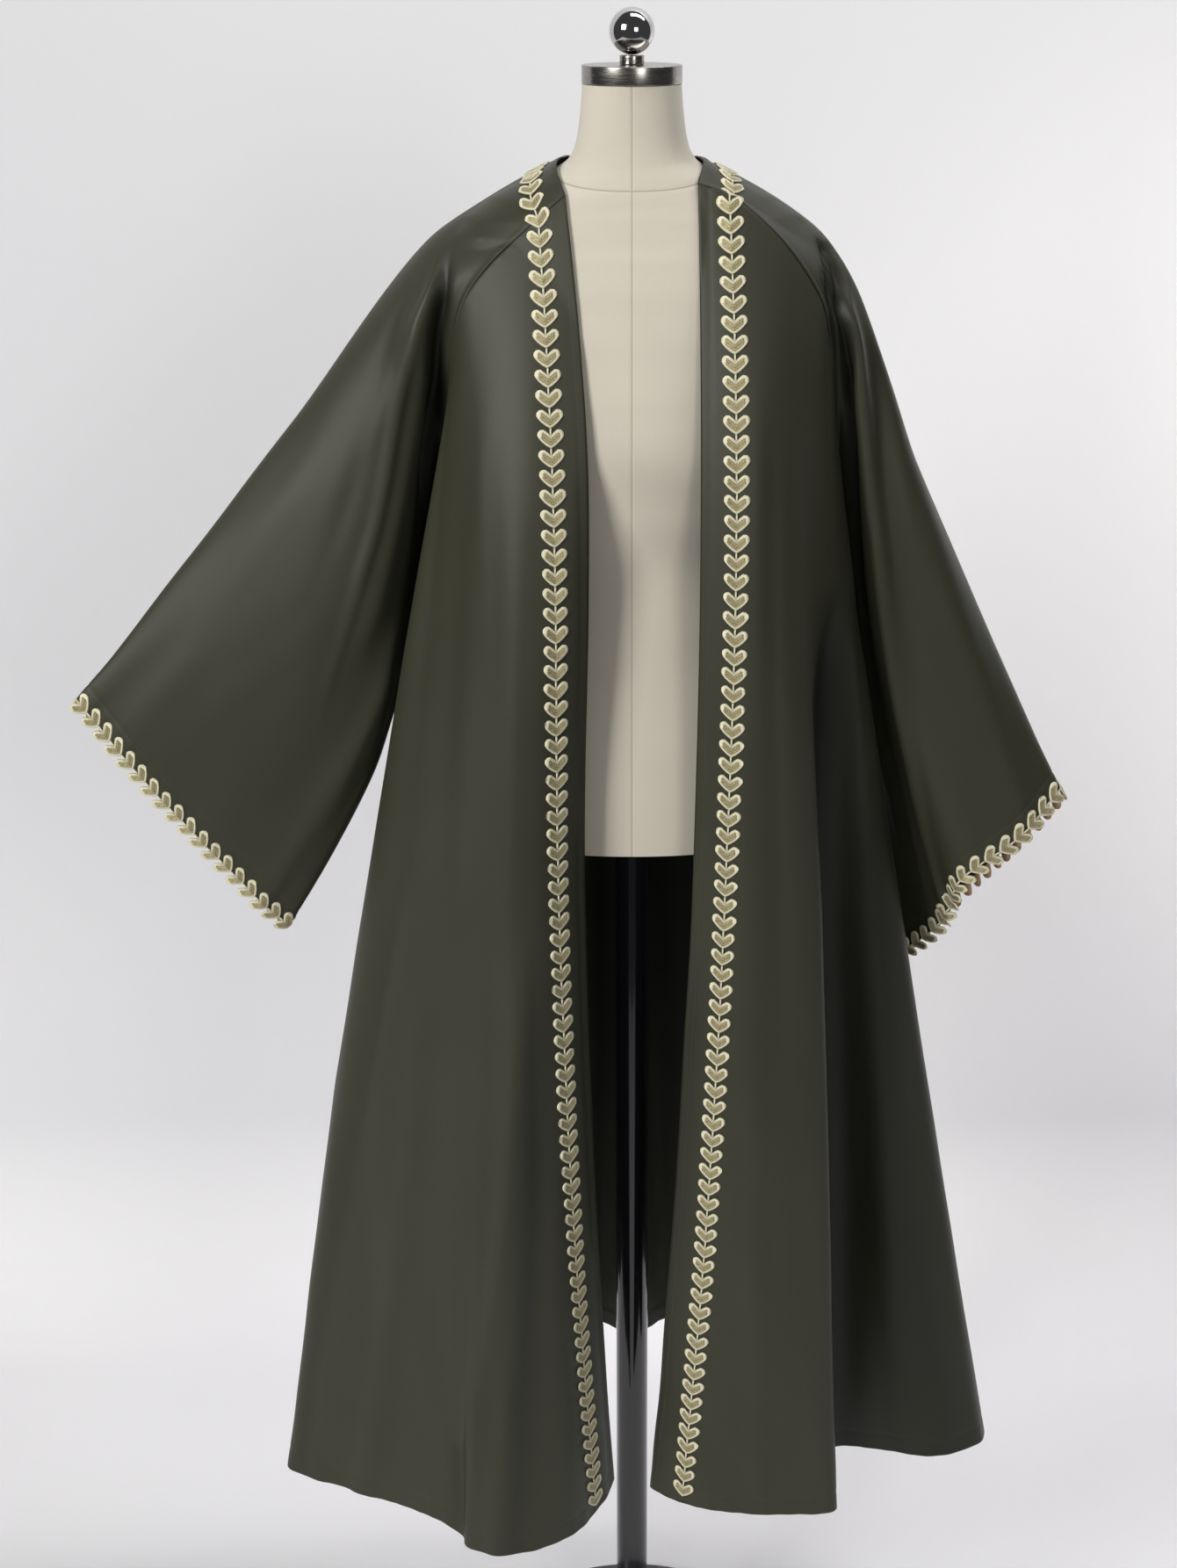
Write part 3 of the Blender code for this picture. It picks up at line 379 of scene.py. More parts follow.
threadWeave = makeWeaveGroup()
softMottle = makeMottleGroup()
faintScuffs = makeScuffGroup()


def newMaterial(name, viewColour):
    material = bpy.data.materials.new(name)
    material.use_nodes = True
    material.diffuse_color = (*viewColour, 1)
    tree = material.node_tree
    return material, tree, tree.nodes["Principled BSDF"]


def placeGroup(tree, group, **feeds):
    return addNode(tree, "ShaderNodeGroup", feeds, node_tree=group)


def ownMap(tree, label):
    return addNode(tree, "ShaderNodeUVMap", uv_map=label).outputs[0]


def ownMark(tree, label, part="Fac"):
    return addNode(tree, "ShaderNodeAttribute", attribute_name=label).outputs[part]


def objectPlace(tree):
    return addNode(tree, "ShaderNodeTexCoord").outputs["Object"]


def setPlain(shader, **values):
    # numbers and colours that are the same all over the surface
    for label, value in values.items():
        shader.inputs[label.replace("_", " ")].default_value = value


def addBump(tree, shader, height, distance, strength=1.0):
    bump = addNode(tree, "ShaderNodeBump", {"Height": height, "Distance": distance, "Strength": strength})
    tree.links.new(bump.outputs[0], shader.inputs["Normal"])


# ---- the finishes
crepeCloth = {
    "face": {"light": (0.037, 0.038, 0.0235, 1), "dark": (0.030, 0.031, 0.0185, 1), "roughness": 0.44},
    "back": {"light": (0.029, 0.030, 0.019, 1), "dark": (0.023, 0.024, 0.014, 1), "roughness": 0.66},
    "thread": 0.00042, "weaveDepth": 0.00004,
    "seamLine": (0.0003, 0.0016, 0.25),      # from, to, share of the dye's light left in the line
    "gloss": 0.32, "sheen": 0.02, "sheenTint": (0.62, 0.62, 0.48, 1),
}


def makeCrepe(name, side):
    # darker along its seams, with painted shade down in its deep folds and painted light and shade on the weave's
    # crossings and dips
    dye = crepeCloth[side]
    material, tree, shader = newMaterial(name, dye["light"][:3])
    uv = ownMap(tree, "clothUV")
    mottle = placeGroup(tree, softMottle, Place=uv, Light=dye["light"], Dark=dye["dark"], Broad=5.0, Fine=420.0,
                        Fineness=0.45)
    weave = placeGroup(tree, threadWeave, Place=uv, Thread=crepeCloth["thread"], Crepe=0.6)
    # painted light and shade of the weave: the colour is lighter where the threads stand high, darker in their dips
    tone = doMath(tree, "MULTIPLY_ADD", weave.outputs["Tone"], 0.16, 0.90)
    dyeAndWeaveShade = mixColours(tree, 1.0, mottle.outputs["Colour"], tone, "MULTIPLY")
    shut = rescale(tree, ownMark(tree, "seamAway"), *crepeCloth["seamLine"])
    # painted shade: the cloth's colour is darkened down in its deep folds by the fold mark
    lit = doMath(tree, "MULTIPLY", shut, doMath(tree, "SUBTRACT", 1.0, ownMark(tree, "paintedFoldShade")))
    tree.links.new(mixColours(tree, 1.0, dyeAndWeaveShade, lit, "MULTIPLY"), shader.inputs["Base Color"])
    rough = doMath(tree, "MULTIPLY_ADD", mottle.outputs["Mask"], 0.06, dye["roughness"])
    tree.links.new(rough, shader.inputs["Roughness"])
    setPlain(shader, Specular_IOR_Level=crepeCloth["gloss"], Sheen_Weight=crepeCloth["sheen"], Sheen_Roughness=0.45,
             Sheen_Tint=crepeCloth["sheenTint"])
    addBump(tree, shader, weave.outputs["Height"], crepeCloth["weaveDepth"], 0.6)
    return material


clothFace, clothBack = makeCrepe("oliveCrepeFace", "face"), makeCrepe("oliveCrepeReverse", "back")

heartColours = {
    "cord": ((0.60, 0.56, 0.38, 1), (0.86, 0.83, 0.64, 1)),      # painted shade in the dips and painted highlight on the crests of its stitches
    "gold": ((0.27, 0.23, 0.11, 1), (0.68, 0.61, 0.38, 1)),      # dull and glittering threads
    "reverse": ((0.40, 0.25, 0.13, 1), (0.62, 0.42, 0.24, 1)),
    "cordTurns": 64.0,           # how closely stitches fan round a heart
    "goldStitch": 0.00075,       # spacing of the laid gold
    "furrow": (0.8, 0.10, 0.55), # where between the gold rows, how wide, how dark its painted shade is
}


def makeHeartThread():
    # pale cord round each heart, glittering gold rows inside
    material, tree, shader = newMaterial("heartThread", (0.6, 0.5, 0.3))
    uv = ownMap(tree, "motifUV")
    kind = ownMark(tree, "goldRow")
    gold = rescale(tree, kind, 0.42, 0.58)
    x, y = splitVector(tree, uv)[:2]
    angle = doMath(tree, "ARCTAN2", y, x)
    fanned = doMath(tree, "SINE", doMath(tree, "MULTIPLY", angle, heartColours["cordTurns"]))
    slope = doMath(tree, "SUBTRACT", y, doMath(tree, "ABSOLUTE", x))
    laid = doMath(tree, "SINE", doMath(tree, "MULTIPLY", slope, 2 * math.pi / heartColours["goldStitch"]))
    glitter = addNode(tree, "ShaderNodeTexVoronoi", {"Vector": uv, "Scale": 1500.0})
    sparkle = addNode(tree, "ShaderNodeSeparateColor", {0: glitter.outputs["Color"]}).outputs[0]
    goldTone = mixColours(tree, sparkle, *heartColours["gold"])
    # painted shade in the stitches' dips and painted highlight on their crests
    cordTone = mixColours(tree, doMath(tree, "MULTIPLY_ADD", fanned, 0.5, 0.5), *heartColours["cord"])
    # painted shade in the furrow between the two raised gold rows
    between, width, darkness = heartColours["furrow"]
    beside = doMath(tree, "ABSOLUTE", doMath(tree, "SUBTRACT", kind, between))
    furrow = rescale(tree, beside, 0.0, width, darkness, 1.0)
    threads = mixColours(tree, gold, cordTone, goldTone)
    tree.links.new(mixColours(tree, 1.0, threads, furrow, "MULTIPLY"), shader.inputs["Base Color"])
    tree.links.new(doMath(tree, "MULTIPLY_ADD", gold, 0.5, 0.12), shader.inputs["Metallic"])
    tree.links.new(doMath(tree, "MULTIPLY_ADD", sparkle, -0.22, 0.56), shader.inputs["Roughness"])
    relief = addNode(tree, "ShaderNodeMix", {"Factor": gold, 2: fanned, 3: doMath(tree, "ADD", laid, sparkle)},
                     data_type="FLOAT")
    addBump(tree, shader, relief.outputs[0], 0.00012, 0.8)
    return material


def makeYarn(name, place, dark, light, broad, fine, fineness, roughness, depth, strength):
    # plain thread with a mottled tone: place makes the coordinate that it is read at
    material, tree, shader = newMaterial(name, light[:3])
    mottle = placeGroup(tree, softMottle, Place=place(tree), Light=light, Dark=dark, Broad=broad, Fine=fine,
                        Fineness=fineness)
    tree.links.new(mottle.outputs["Colour"], shader.inputs["Base Color"])
    setPlain(shader, Roughness=roughness)
    addBump(tree, shader, mottle.outputs["Mask"], depth, strength)
    return material


heartThread = makeHeartThread()
heartReverse = makeYarn("heartReverse", lambda tree: ownMap(tree, "motifUV"), *heartColours["reverse"], 160.0, 1600.0,
                        0.6, 0.75, 0.0001, 0.8)
stitchThread = makeYarn("stitchThread", objectPlace, (0.035, 0.036, 0.028, 1), (0.075, 0.076, 0.060, 1), 300.0,
                        2200.0, 0.5, 0.6, 0.00005, 0.7)

jersey = {
    "light": (0.61, 0.57, 0.48, 1), "dark": (0.55, 0.51, 0.43, 1), "seam": (0.38, 0.32, 0.25, 1),
    "thread": 0.0009, "depth": 0.00007,
    "seamLine": (0.0002, 0.0009), "seamRoll": (0.003, 8.0),      # the roll beside a seam: its width and height
}


def makeFormJersey():
    # ivory jersey stretched over the form, darker in its seams
    material, tree, shader = newMaterial("formJersey", (0.66, 0.61, 0.52))
    uv = ownMap(tree, "formUV")
    mottle = placeGroup(tree, softMottle, Place=uv, Light=jersey["light"], Dark=jersey["dark"], Broad=7.0, Fine=700.0,
                        Fineness=0.5)
    weave = placeGroup(tree, threadWeave, Place=uv, Thread=jersey["thread"], Crepe=0.8)
    middle, panel, neck = (doMath(tree, "ABSOLUTE", away) for away in
                           splitVector(tree, ownMark(tree, "seamAway", "Vector"))[:3])
    nearest = doMath(tree, "MINIMUM", middle, doMath(tree, "MINIMUM", panel, neck))
    seam = rescale(tree, nearest, *jersey["seamLine"], 1.0, 0.0)
    width, height = jersey["seamRoll"]
    roll = rescale(tree, nearest, 0.0, width)
    tree.links.new(mixColours(tree, seam, mottle.outputs["Colour"], jersey["seam"]), shader.inputs["Base Color"])
    setPlain(shader, Roughness=0.82, Sheen_Weight=0.25, Sheen_Roughness=0.5)
    addBump(tree, shader, doMath(tree, "MULTIPLY_ADD", roll, height, weave.outputs["Height"]), jersey["depth"], 0.6)
    return material


formJersey = makeFormJersey()

hardFinishes = {   # smooth and worn are its roughness at best and worst, scratch its depth
    "brushedCap": {"colour": (0.33, 0.315, 0.29, 1), "smooth": 0.18, "worn": 0.32, "stretch": (1.0, 1.0, 14.0),
                   "scratch": 0.00002, "metallic": 1.0, "coat": 0.0},
    "polishedBall": {"colour": (0.60, 0.595, 0.59, 1), "smooth": 0.03, "worn": 0.07, "stretch": (1.0, 1.0, 1.0),
                     "scratch": 0.000004, "metallic": 1.0, "coat": 0.0},
    "glossBlackPaint": {"colour": (0.011, 0.012, 0.016, 1), "smooth": 0.12, "worn": 0.24, "stretch": (1.0, 1.0, 0.2),
                        "scratch": 0.00001, "metallic": 0.0, "coat": 0.6},
    "blackPlatePaint": {"colour": (0.013, 0.014, 0.017, 1), "smooth": 0.22, "worn": 0.40, "stretch": (1.0, 1.0, 1.0),
                        "scratch": 0.00002, "metallic": 0.0, "coat": 0.3},
}


def makeHardFinish(name):
    plan = hardFinishes[name]
    material, tree, shader = newMaterial(name, plan["colour"][:3])
    place = objectPlace(tree)
    scuffs = placeGroup(tree, faintScuffs, Place=place, Stretch=plan["stretch"], Smooth=plan["smooth"],
                        Worn=plan["worn"])
    dimmed = tuple(0.9 * part for part in plan["colour"][:3]) + (1,)
    mottle = placeGroup(tree, softMottle, Place=place, Light=plan["colour"], Dark=dimmed, Broad=20.0, Fine=300.0,
                        Fineness=0.4)
    tree.links.new(mottle.outputs["Colour"], shader.inputs["Base Color"])
    tree.links.new(scuffs.outputs["Roughness"], shader.inputs["Roughness"])
    setPlain(shader, Metallic=plan["metallic"], Coat_Weight=plan["coat"], Coat_Roughness=0.06)
    addBump(tree, shader, scuffs.outputs["Height"], plan["scratch"], 0.5)
    return material


hard = {name: makeHardFinish(name) for name in hardFinishes}
print("materials and shader groups made")


# ---- cloth panels
clothMake = {
    "wall": 0.0011,                          # one layer of crepe
    "hemTurn": 0.022, "edgeTurn": 0.011,     # folded hem and folded front edge
    "seamTuck": (0.0013, 0.0015),            # how far a seam draws in, and over what width
    "pucker": (0.00028, 0.017, 0.011),       # height, spacing and reach of the small gathers at a seam
    "hemPull": (0.00035, 0.023, 0.03),       # the same at a hem
    "stitchDent": (0.00045, 0.0022),         # depth and half width of the line that a hem is sewn along
    "allowance": (0.0004, 0.009, 0.0125),    # seam turnings pressed to the sleeve: rise, and where they end
    "columnsPerLine": 14, "bodyStep": 8.5,   # mesh columns between fold lines, mm between rows
    "sleeveColumns": 20, "sleeveStep": 6.5,
    "bodyRows": (0, 1.5, 3, 5, 8, 12, 17, 24, 32),     # mm from the seam, then even rows
    "hemRows": (46, 40, 35, 31, 28, 25.5, 23, 20.5, 18, 15, 12, 9, 6, 3, 0),   # mm from the hem
    "waveLengths": (0.049, 0.071, 0.104, 0.158), "waveDrift": 0.012, "waveStart": (0.004, 0.06),
    "creaseFade": (0.22, 0.7), "shadeSpread": 1.25,    # a crease fades in and out by these shares of its run
    "sleeveEase": (14, 8.0, 50.0),           # smoothing passes, and mm from the seam where they set in
}


def rowPlaces(length, step):
    top = list(clothMake["bodyRows"])
    bottom = [length - mm for mm in clothMake["hemRows"]]
    count = int(round((bottom[0] - top[-1]) / step))
    middle = np.linspace(top[-1], bottom[0], count + 1)[1:-1]
    return np.concatenate([top, middle, bottom]) / length


def arcAcross(grid):
    steps = np.linalg.norm(np.diff(grid, axis=0), axis=2)
    return np.concatenate([np.zeros((1, grid.shape[1])), np.cumsum(steps, axis=0)])


def arcDown(grid):
    steps = np.linalg.norm(np.diff(grid, axis=1), axis=2)
    return np.concatenate([np.zeros((grid.shape[0], 1)), np.cumsum(steps, axis=1)], axis=1)


def gridNormals(grid, ring, flip):
    # ring grids carry their first column again as the last one
    if ring:
        around = np.concatenate([grid[-2:-1], grid, grid[1:2]])
        across = around[2:] - around[:-2]
    else:
        across = np.gradient(grid, axis=0)
    normals = unitRows(np.cross(across, np.gradient(grid, axis=1)))
    return -normals if flip else normals


def softWaves(across, down, low, high, seed):
    # uneven, slowly wandering waves that run down the cloth and grow towards the hem
    chance = np.random.default_rng(seed)
    share = down / down[:, -1:].clip(1e-6)
    height = np.zeros_like(across)

    def sway(turns):
        return np.sin(2 * math.pi * (turns + chance.random()))

    for length in clothMake["waveLengths"]:
        drift = clothMake["waveDrift"] * sway(down / chance.uniform(0.45, 0.9))
        beat = 0.6 + 0.4 * sway(across / (5.3 * length) + down / 0.7)
        height += beat * sway((across + drift) / length) * (length / 0.077)
    height += 0.35 * sway(across / 0.16 + down / chance.uniform(0.12, 0.2))
    return height / 2.2 * (low + (high - low) * share**1.3) * smoothStep(down, *clothMake["waveStart"])


def gridRead(part, lineShare, rowShare, lines, rows):
    # values of a grid between its columns and rows
    column = np.interp(lines, lineShare, np.arange(len(lineShare)))
    row = np.interp(rows, rowShare, np.arange(len(rowShare)))
    i, j = np.minimum(column.astype(int), len(lineShare) - 2), np.minimum(row.astype(int), len(rowShare) - 2)
    f, g = (column - i)[:, None], (row - j)[:, None]
    near = part[i, j] * (1 - f) * (1 - g) + part[i + 1, j] * f * (1 - g)
    return near + part[i, j + 1] * (1 - f) * g + part[i + 1, j + 1] * f * g


def creaseHeight(grid, lineShare, rowShare, crease):
    # one fold: its crest follows (down, line) points and fades at both ends
    height, width, points, dark = (*crease, 0.0)[:4]
    steps = np.linspace(0, len(points) - 1, 14 * (len(points) - 1) + 1)
    path = smoothRows(range(len(points)), points, steps)
    crest = gridRead(grid, lineShare, rowShare, path[:, 1], np.clip(path[:, 0], 0, 1))
    gap = np.full(grid.shape[:2], 9.0)
    place = np.zeros(grid.shape[:2])
    for k, (one, two) in enumerate(zip(crest, crest[1:])):
        along = two - one
        way = np.clip((grid - one) @ along / max(along @ along, 1e-12), 0, 1)
        away = ((grid - one - way[..., None] * along)**2).sum(axis=2)
        nearer = away < gap
        gap[nearer], place[nearer] = away[nearer], ((k + way) / (len(crest) - 1))[nearer]
    fade = np.ones(grid.shape[:2])
    fadedIn, fadesOut = clothMake["creaseFade"]
    if points[0][0] > 0.005:     # not from the seam itself
        fade = fade * smoothStep(place, 0.0, fadedIn)
    if points[-1][0] < 0.995:    # not down to the hem
        fade = fade * (1 - smoothStep(place, fadesOut, 1.0))
    spread = width * clothMake["shadeSpread"]
    # the second value is painted shade, darkest along the crest and fading to the sides
    return height * np.exp(-gap / width**2) * fade, dark * np.exp(-gap / spread**2) * fade


def clothMesh(name, grid, normals, wall, across, down, marks, ring, flip):
    # outer and inner face with rims between; material 0 is the face of the cloth, 1 its back
    columns, rows = grid.shape[:2]
    count = columns - 1 if ring else columns
    inner = grid - normals * wall[..., None]
    verts = np.concatenate([grid[:count].reshape(-1, 3), inner[:count].reshape(-1, 3)])
    i, j = (part.ravel() for part in np.meshgrid(range(columns - 1), range(rows - 1), indexing="ij"))
    last, edge = columns - 1, rows - 1
    quads = [   # each corner: (column, row, 0 outer or 1 inner)
        ([(i, j, 0), (i + 1, j, 0), (i + 1, j + 1, 0), (i, j + 1, 0)], 0),
        ([(i, j, 1), (i, j + 1, 1), (i + 1, j + 1, 1), (i + 1, j, 1)], 1)]
    a, b = np.arange(columns - 1), np.arange(rows - 1)
    quads += [([(a + 1, 0, 0), (a, 0, 0), (a, 0, 1), (a + 1, 0, 1)], 0),
              ([(a, edge, 0), (a + 1, edge, 0), (a + 1, edge, 1), (a, edge, 1)], 0)]
    if not ring:
        quads += [([(0, b, 0), (0, b + 1, 0), (0, b + 1, 1), (0, b, 1)], 0),
                  ([(last, b + 1, 0), (last, b, 0), (last, b, 1), (last, b + 1, 1)], 0)]
    faces, uvs, kinds = [], [], []
    for corners, kind in quads:
        corners = [[part + np.zeros(len(np.atleast_1d(corners[0][0] + corners[0][1])), int) for part in corner]
                   for corner in corners]
        if flip:
            corners = corners[::-1]
        faces.append(np.stack([(c % count) * rows + r + side * count * rows for c, r, side in corners], axis=1))
        uvs.append(np.stack([np.stack([across[c, r], -down[c, r]], axis=1) for c, r, side in corners], axis=1))
        kinds.append(np.full(len(faces[-1]), kind))
    faces, uvs, kinds = np.concatenate(faces), np.concatenate(uvs), np.concatenate(kinds)
    mesh = bpy.data.meshes.new(name)
    mesh.from_pydata(verts.tolist(), [], faces.tolist())
    mesh.uv_layers.new(name="clothUV").data.foreach_set("uv", uvs.reshape(-1).astype(np.float32))
    for label, values in marks.items():
        markMesh(mesh, label, "FLOAT", "POINT", np.tile(values[:count].reshape(-1), 2).astype(np.float32))
    mesh.materials.append(clothFace)
    mesh.materials.append(clothBack)
    mesh.polygons.foreach_set("material_index", kinds.astype(np.int32))
    smoothFaces(mesh)
    mesh.update()
    return mesh


def layerArea(grid):
    # area of the cloth's outer face
    a, b, c, d = grid[:-1, :-1], grid[1:, :-1], grid[1:, 1:], grid[:-1, 1:]
    halves = (np.linalg.norm(np.cross(one - a, two - a), axis=2) for one, two in ((b, c), (c, d)))
    return 0.5 * sum(half.sum() for half in halves)


def seamDistance(across, down, seams):
    # how far each point is from the nearest sewn edge
    sewn = np.full(across.shape, 9.0)
    for seam, away in (("top", down), ("first", across), ("last", across[-1] - across)):
        if seam in seams:
            sewn = np.minimum(sewn, away)
    return sewn


def hemDistance(across, down, seams):
    # the same from a folded edge; a front's narrower turning makes it as much further in
    hemmed = down[:, -1:] - down
    for seam, away in (("openFirst", across), ("openLast", across[-1] - across)):
        if seam in seams:
            hemmed = np.minimum(hemmed, away + clothMake["hemTurn"] - clothMake["edgeTurn"])
    return hemmed


def unevenGathers(run, spacing, waver, wander, start=0.0):
    return np.sin(2 * math.pi * (run / spacing + waver * np.sin(run / wander + start)))


def sewnLift(plan, across, down, sewn, hemmed):
    # what the sewing does to the surface: seams draw in, turnings lie proud, stitching dents and puckers it
    chance = np.random.default_rng(plan["seed"] + 50)
    depth, width = clothMake["seamTuck"]
    lift = -depth * np.exp(-(sewn / width)**2)
    height, spacing, reach = clothMake["pucker"]
    gathers = unevenGathers(down + across, spacing, 0.4, 0.031, chance.random() * 6)
    lift = lift + height * gathers * np.exp(-sewn / reach) * smoothStep(sewn, 0.001, 0.004)
    if plan.get("allowance"):
        rise, inner, outer = clothMake["allowance"]
        lift = lift + rise * (1 - smoothStep(sewn, inner, outer)) * smoothStep(sewn, 0.0005, 0.003)
    depth, width = clothMake["stitchDent"]
    lift = lift - depth * np.exp(-((hemmed - clothMake["hemTurn"]) / width)**2)
    height, spacing, reach = clothMake["hemPull"]
    pulls = unevenGathers(across, spacing, 0.3, 0.05) * np.exp(-((down[:, -1:] - down) / reach)**2)
    return lift, height * pulls


def makeCloth(plan, grid, lineShare, rowShare, seams, ring=False, flip=False):
    # seams names the edges that are sewn and the front edges that are folded
    across, down = arcAcross(grid), arcDown(grid)
    normals = gridNormals(grid, ring, flip)
    lift = softWaves(across, down, *plan["waves"], plan["seed"])
    # on a sleeve the waves meet where the ring closes
    meet = smoothStep(np.minimum(across, across[-1] - across), 0.0, 0.05) if ring else 1.0
    lift, shade = lift * meet, np.zeros(grid.shape[:2])
    # each crease also paints shade into the cloth's colour; where they meet the darkest is kept
    for crease in plan["creases"]:
        rise, dark = creaseHeight(grid, lineShare, rowShare, crease)
        lift, shade = lift + rise, np.maximum(shade, dark)
    sewn, hemmed = seamDistance(across, down, seams), hemDistance(across, down, seams)
    lift = lift * smoothStep(sewn, 0.0, 0.03)
    under = clearOfForm(grid + normals * lift[..., None])
    sewing, pulls = sewnLift(plan, across, down, sewn, hemmed)
    shaped = grid + normals * (lift + sewing + pulls * meet)[..., None]
    if ring:
        shaped[-1] = shaped[0]
    shaped = clearOfForm(shaped)
    normals = gridNormals(shaped, ring, flip)
    wall = clothMake["wall"] * (1 + smoothStep(clothMake["hemTurn"] + 0.0015 - hemmed, 0.0, 0.0025))
    marks = {"seamAway": sewn, "paintedFoldShade": shade}
    piece = addPiece(plan["name"], clothMesh(plan["name"], shaped, normals, wall, across, down, marks, ring, flip))
    return {"piece": piece, "grid": shaped, "normals": normals, "lines": lineShare, "rows": rowShare,
            "under": under, "underNormals": gridNormals(under, ring, flip),
            "area": layerArea(shaped), "width": np.max(across[-1]), "length": np.max(down[:, -1])}


def bodyPanel(plan):
    first, last = (lineNames.index(name) for name in plan["between"])
    lines = np.linspace(first, last, (last - first) * clothMake["columnsPerLine"] + 1)
    rows = rowPlaces(plan["length"], clothMake["bodyStep"])
    grid = clearOfForm(bodySurface(lines, rows))
    return makeCloth(plan, grid, lines, rows, plan["seams"])


frontRight = {
    "name": "frontRightCloth", "between": ("edgeRight", "sideRight"), "length": 1500.0, "seed": 11,
    "seams": ("top", "last", "openFirst"), "waves": (0.0002, 0.0012),
    "creases": [   # height, half width, crest as (share of the way down, fold line), how dark the painted shade in its depth is
        (0.0035, 0.020, [(0.05, 3.2), (0.157, 4.67), (0.281, 5.25), (0.418, 5.58), (0.569, 5.75)]),
        (0.0040, 0.030, [(0.36, 5.0), (0.55, 4.9), (0.8, 4.9), (0.97, 5.0)]),
        (0.0050, 0.014, [(0.45, 2.4), (0.58, 2.9), (0.7, 3.3), (0.8, 3.7), (0.88, 4.0), (1.0, 4.1)]),
        (-0.0070, 0.020, [(0.5, 1.8), (0.7, 2.2), (0.8, 2.5), (0.9, 2.7), (1.0, 2.9)], 0.25),
        (-0.0040, 0.010, [(0.9, 5.2), (0.95, 5.0), (1.0, 4.8)], 0.08),
        (-0.0060, 0.015, [(0.12, 0.0), (0.5, 0.0), (1.0, 0.0)], 0.15),
        (0.0040, 0.018, [(0.42, 6.4), (0.7, 6.6), (1.0, 6.9)]),
        (-0.0050, 0.018, [(0.35, 7.1), (0.65, 7.5), (1.0, 7.8)], 0.15),
        (0.0030, 0.016, [(0.5, 8.3), (0.75, 8.6), (1.0, 8.8)]),
    ],
}
back = {
    "name": "backCloth", "between": ("sideRight", "sideLeft"), "length": 1450.0, "seed": 12,
    "seams": ("top", "first", "last"), "waves": (0.0003, 0.0018),
    "creases": [
        (0.0040, 0.016, [(0.06, 14.6), (0.4, 14.4), (1.0, 14.2)]),
        (-0.0035, 0.015, [(0.1, 15.4), (0.5, 15.5), (1.0, 15.3)]),
        (0.0045, 0.018, [(0.05, 17.4), (0.35, 17.6), (1.0, 17.9)]),
        (0.0050, 0.020, [(0.3, 12.4), (0.6, 12.3), (1.0, 12.1)]),
        (-0.0045, 0.018, [(0.25, 11.5), (0.6, 11.4), (1.0, 11.5)]),
        (0.0045, 0.018, [(0.35, 19.6), (0.7, 19.8), (1.0, 19.9)]),
        (-0.0040, 0.016, [(0.3, 20.6), (0.65, 20.5), (1.0, 20.7)]),
        (0.0030, 0.013, [(0.55, 16.2), (0.8, 16.4), (1.0, 16.5)]),
        (0.0050, 0.012, [(0.05, 11.4), (0.02, 12.3), (0.06, 13.1)]),
        (0.0045, 0.012, [(0.05, 20.7), (0.02, 19.8), (0.06, 18.9)]),
    ],
}
frontLeft = {
    "name": "frontLeftCloth", "between": ("sideLeft", "edgeLeft"), "length": 1490.0, "seed": 13,
    "seams": ("top", "first", "openLast"), "waves": (0.0002, 0.0012),
    "creases": [
        (0.0030, 0.012, [(0.03, 27.2), (0.3, 27.1), (0.6, 27.0), (1.0, 27.0)]),
        (-0.0030, 0.014, [(0.08, 28.4), (0.35, 28.3), (0.7, 28.1)]),
        (0.0025, 0.014, [(0.35, 29.1), (0.7, 28.8), (1.0, 28.6)]),
        (-0.0240, 0.036, [(0.16, 25.0), (0.35, 25.0), (0.7, 24.9), (0.99, 24.9)]),
        # shade only: these two paint shade into the recess and leave the cloth where it is
        (0.0, 0.032, [(0.16, 25.0), (0.35, 25.0), (0.7, 25.0), (1.0, 25.0)], 0.75),
        (0.0, 0.058, [(0.26, 24.4), (0.42, 24.2), (0.6, 24.1), (0.8, 24.0), (1.0, 23.8)], 0.55),
        (0.0030, 0.015, [(0.3, 23.3), (0.65, 23.2), (1.0, 23.2)]),
        (0.0050, 0.015, [(0.5, 31.0), (0.75, 31.0), (1.0, 31.0)], 0.3),
    ],
}

bodyPanels = {plan["name"]: bodyPanel(plan) for plan in (frontRight, back, frontLeft)}
print("body panels made")


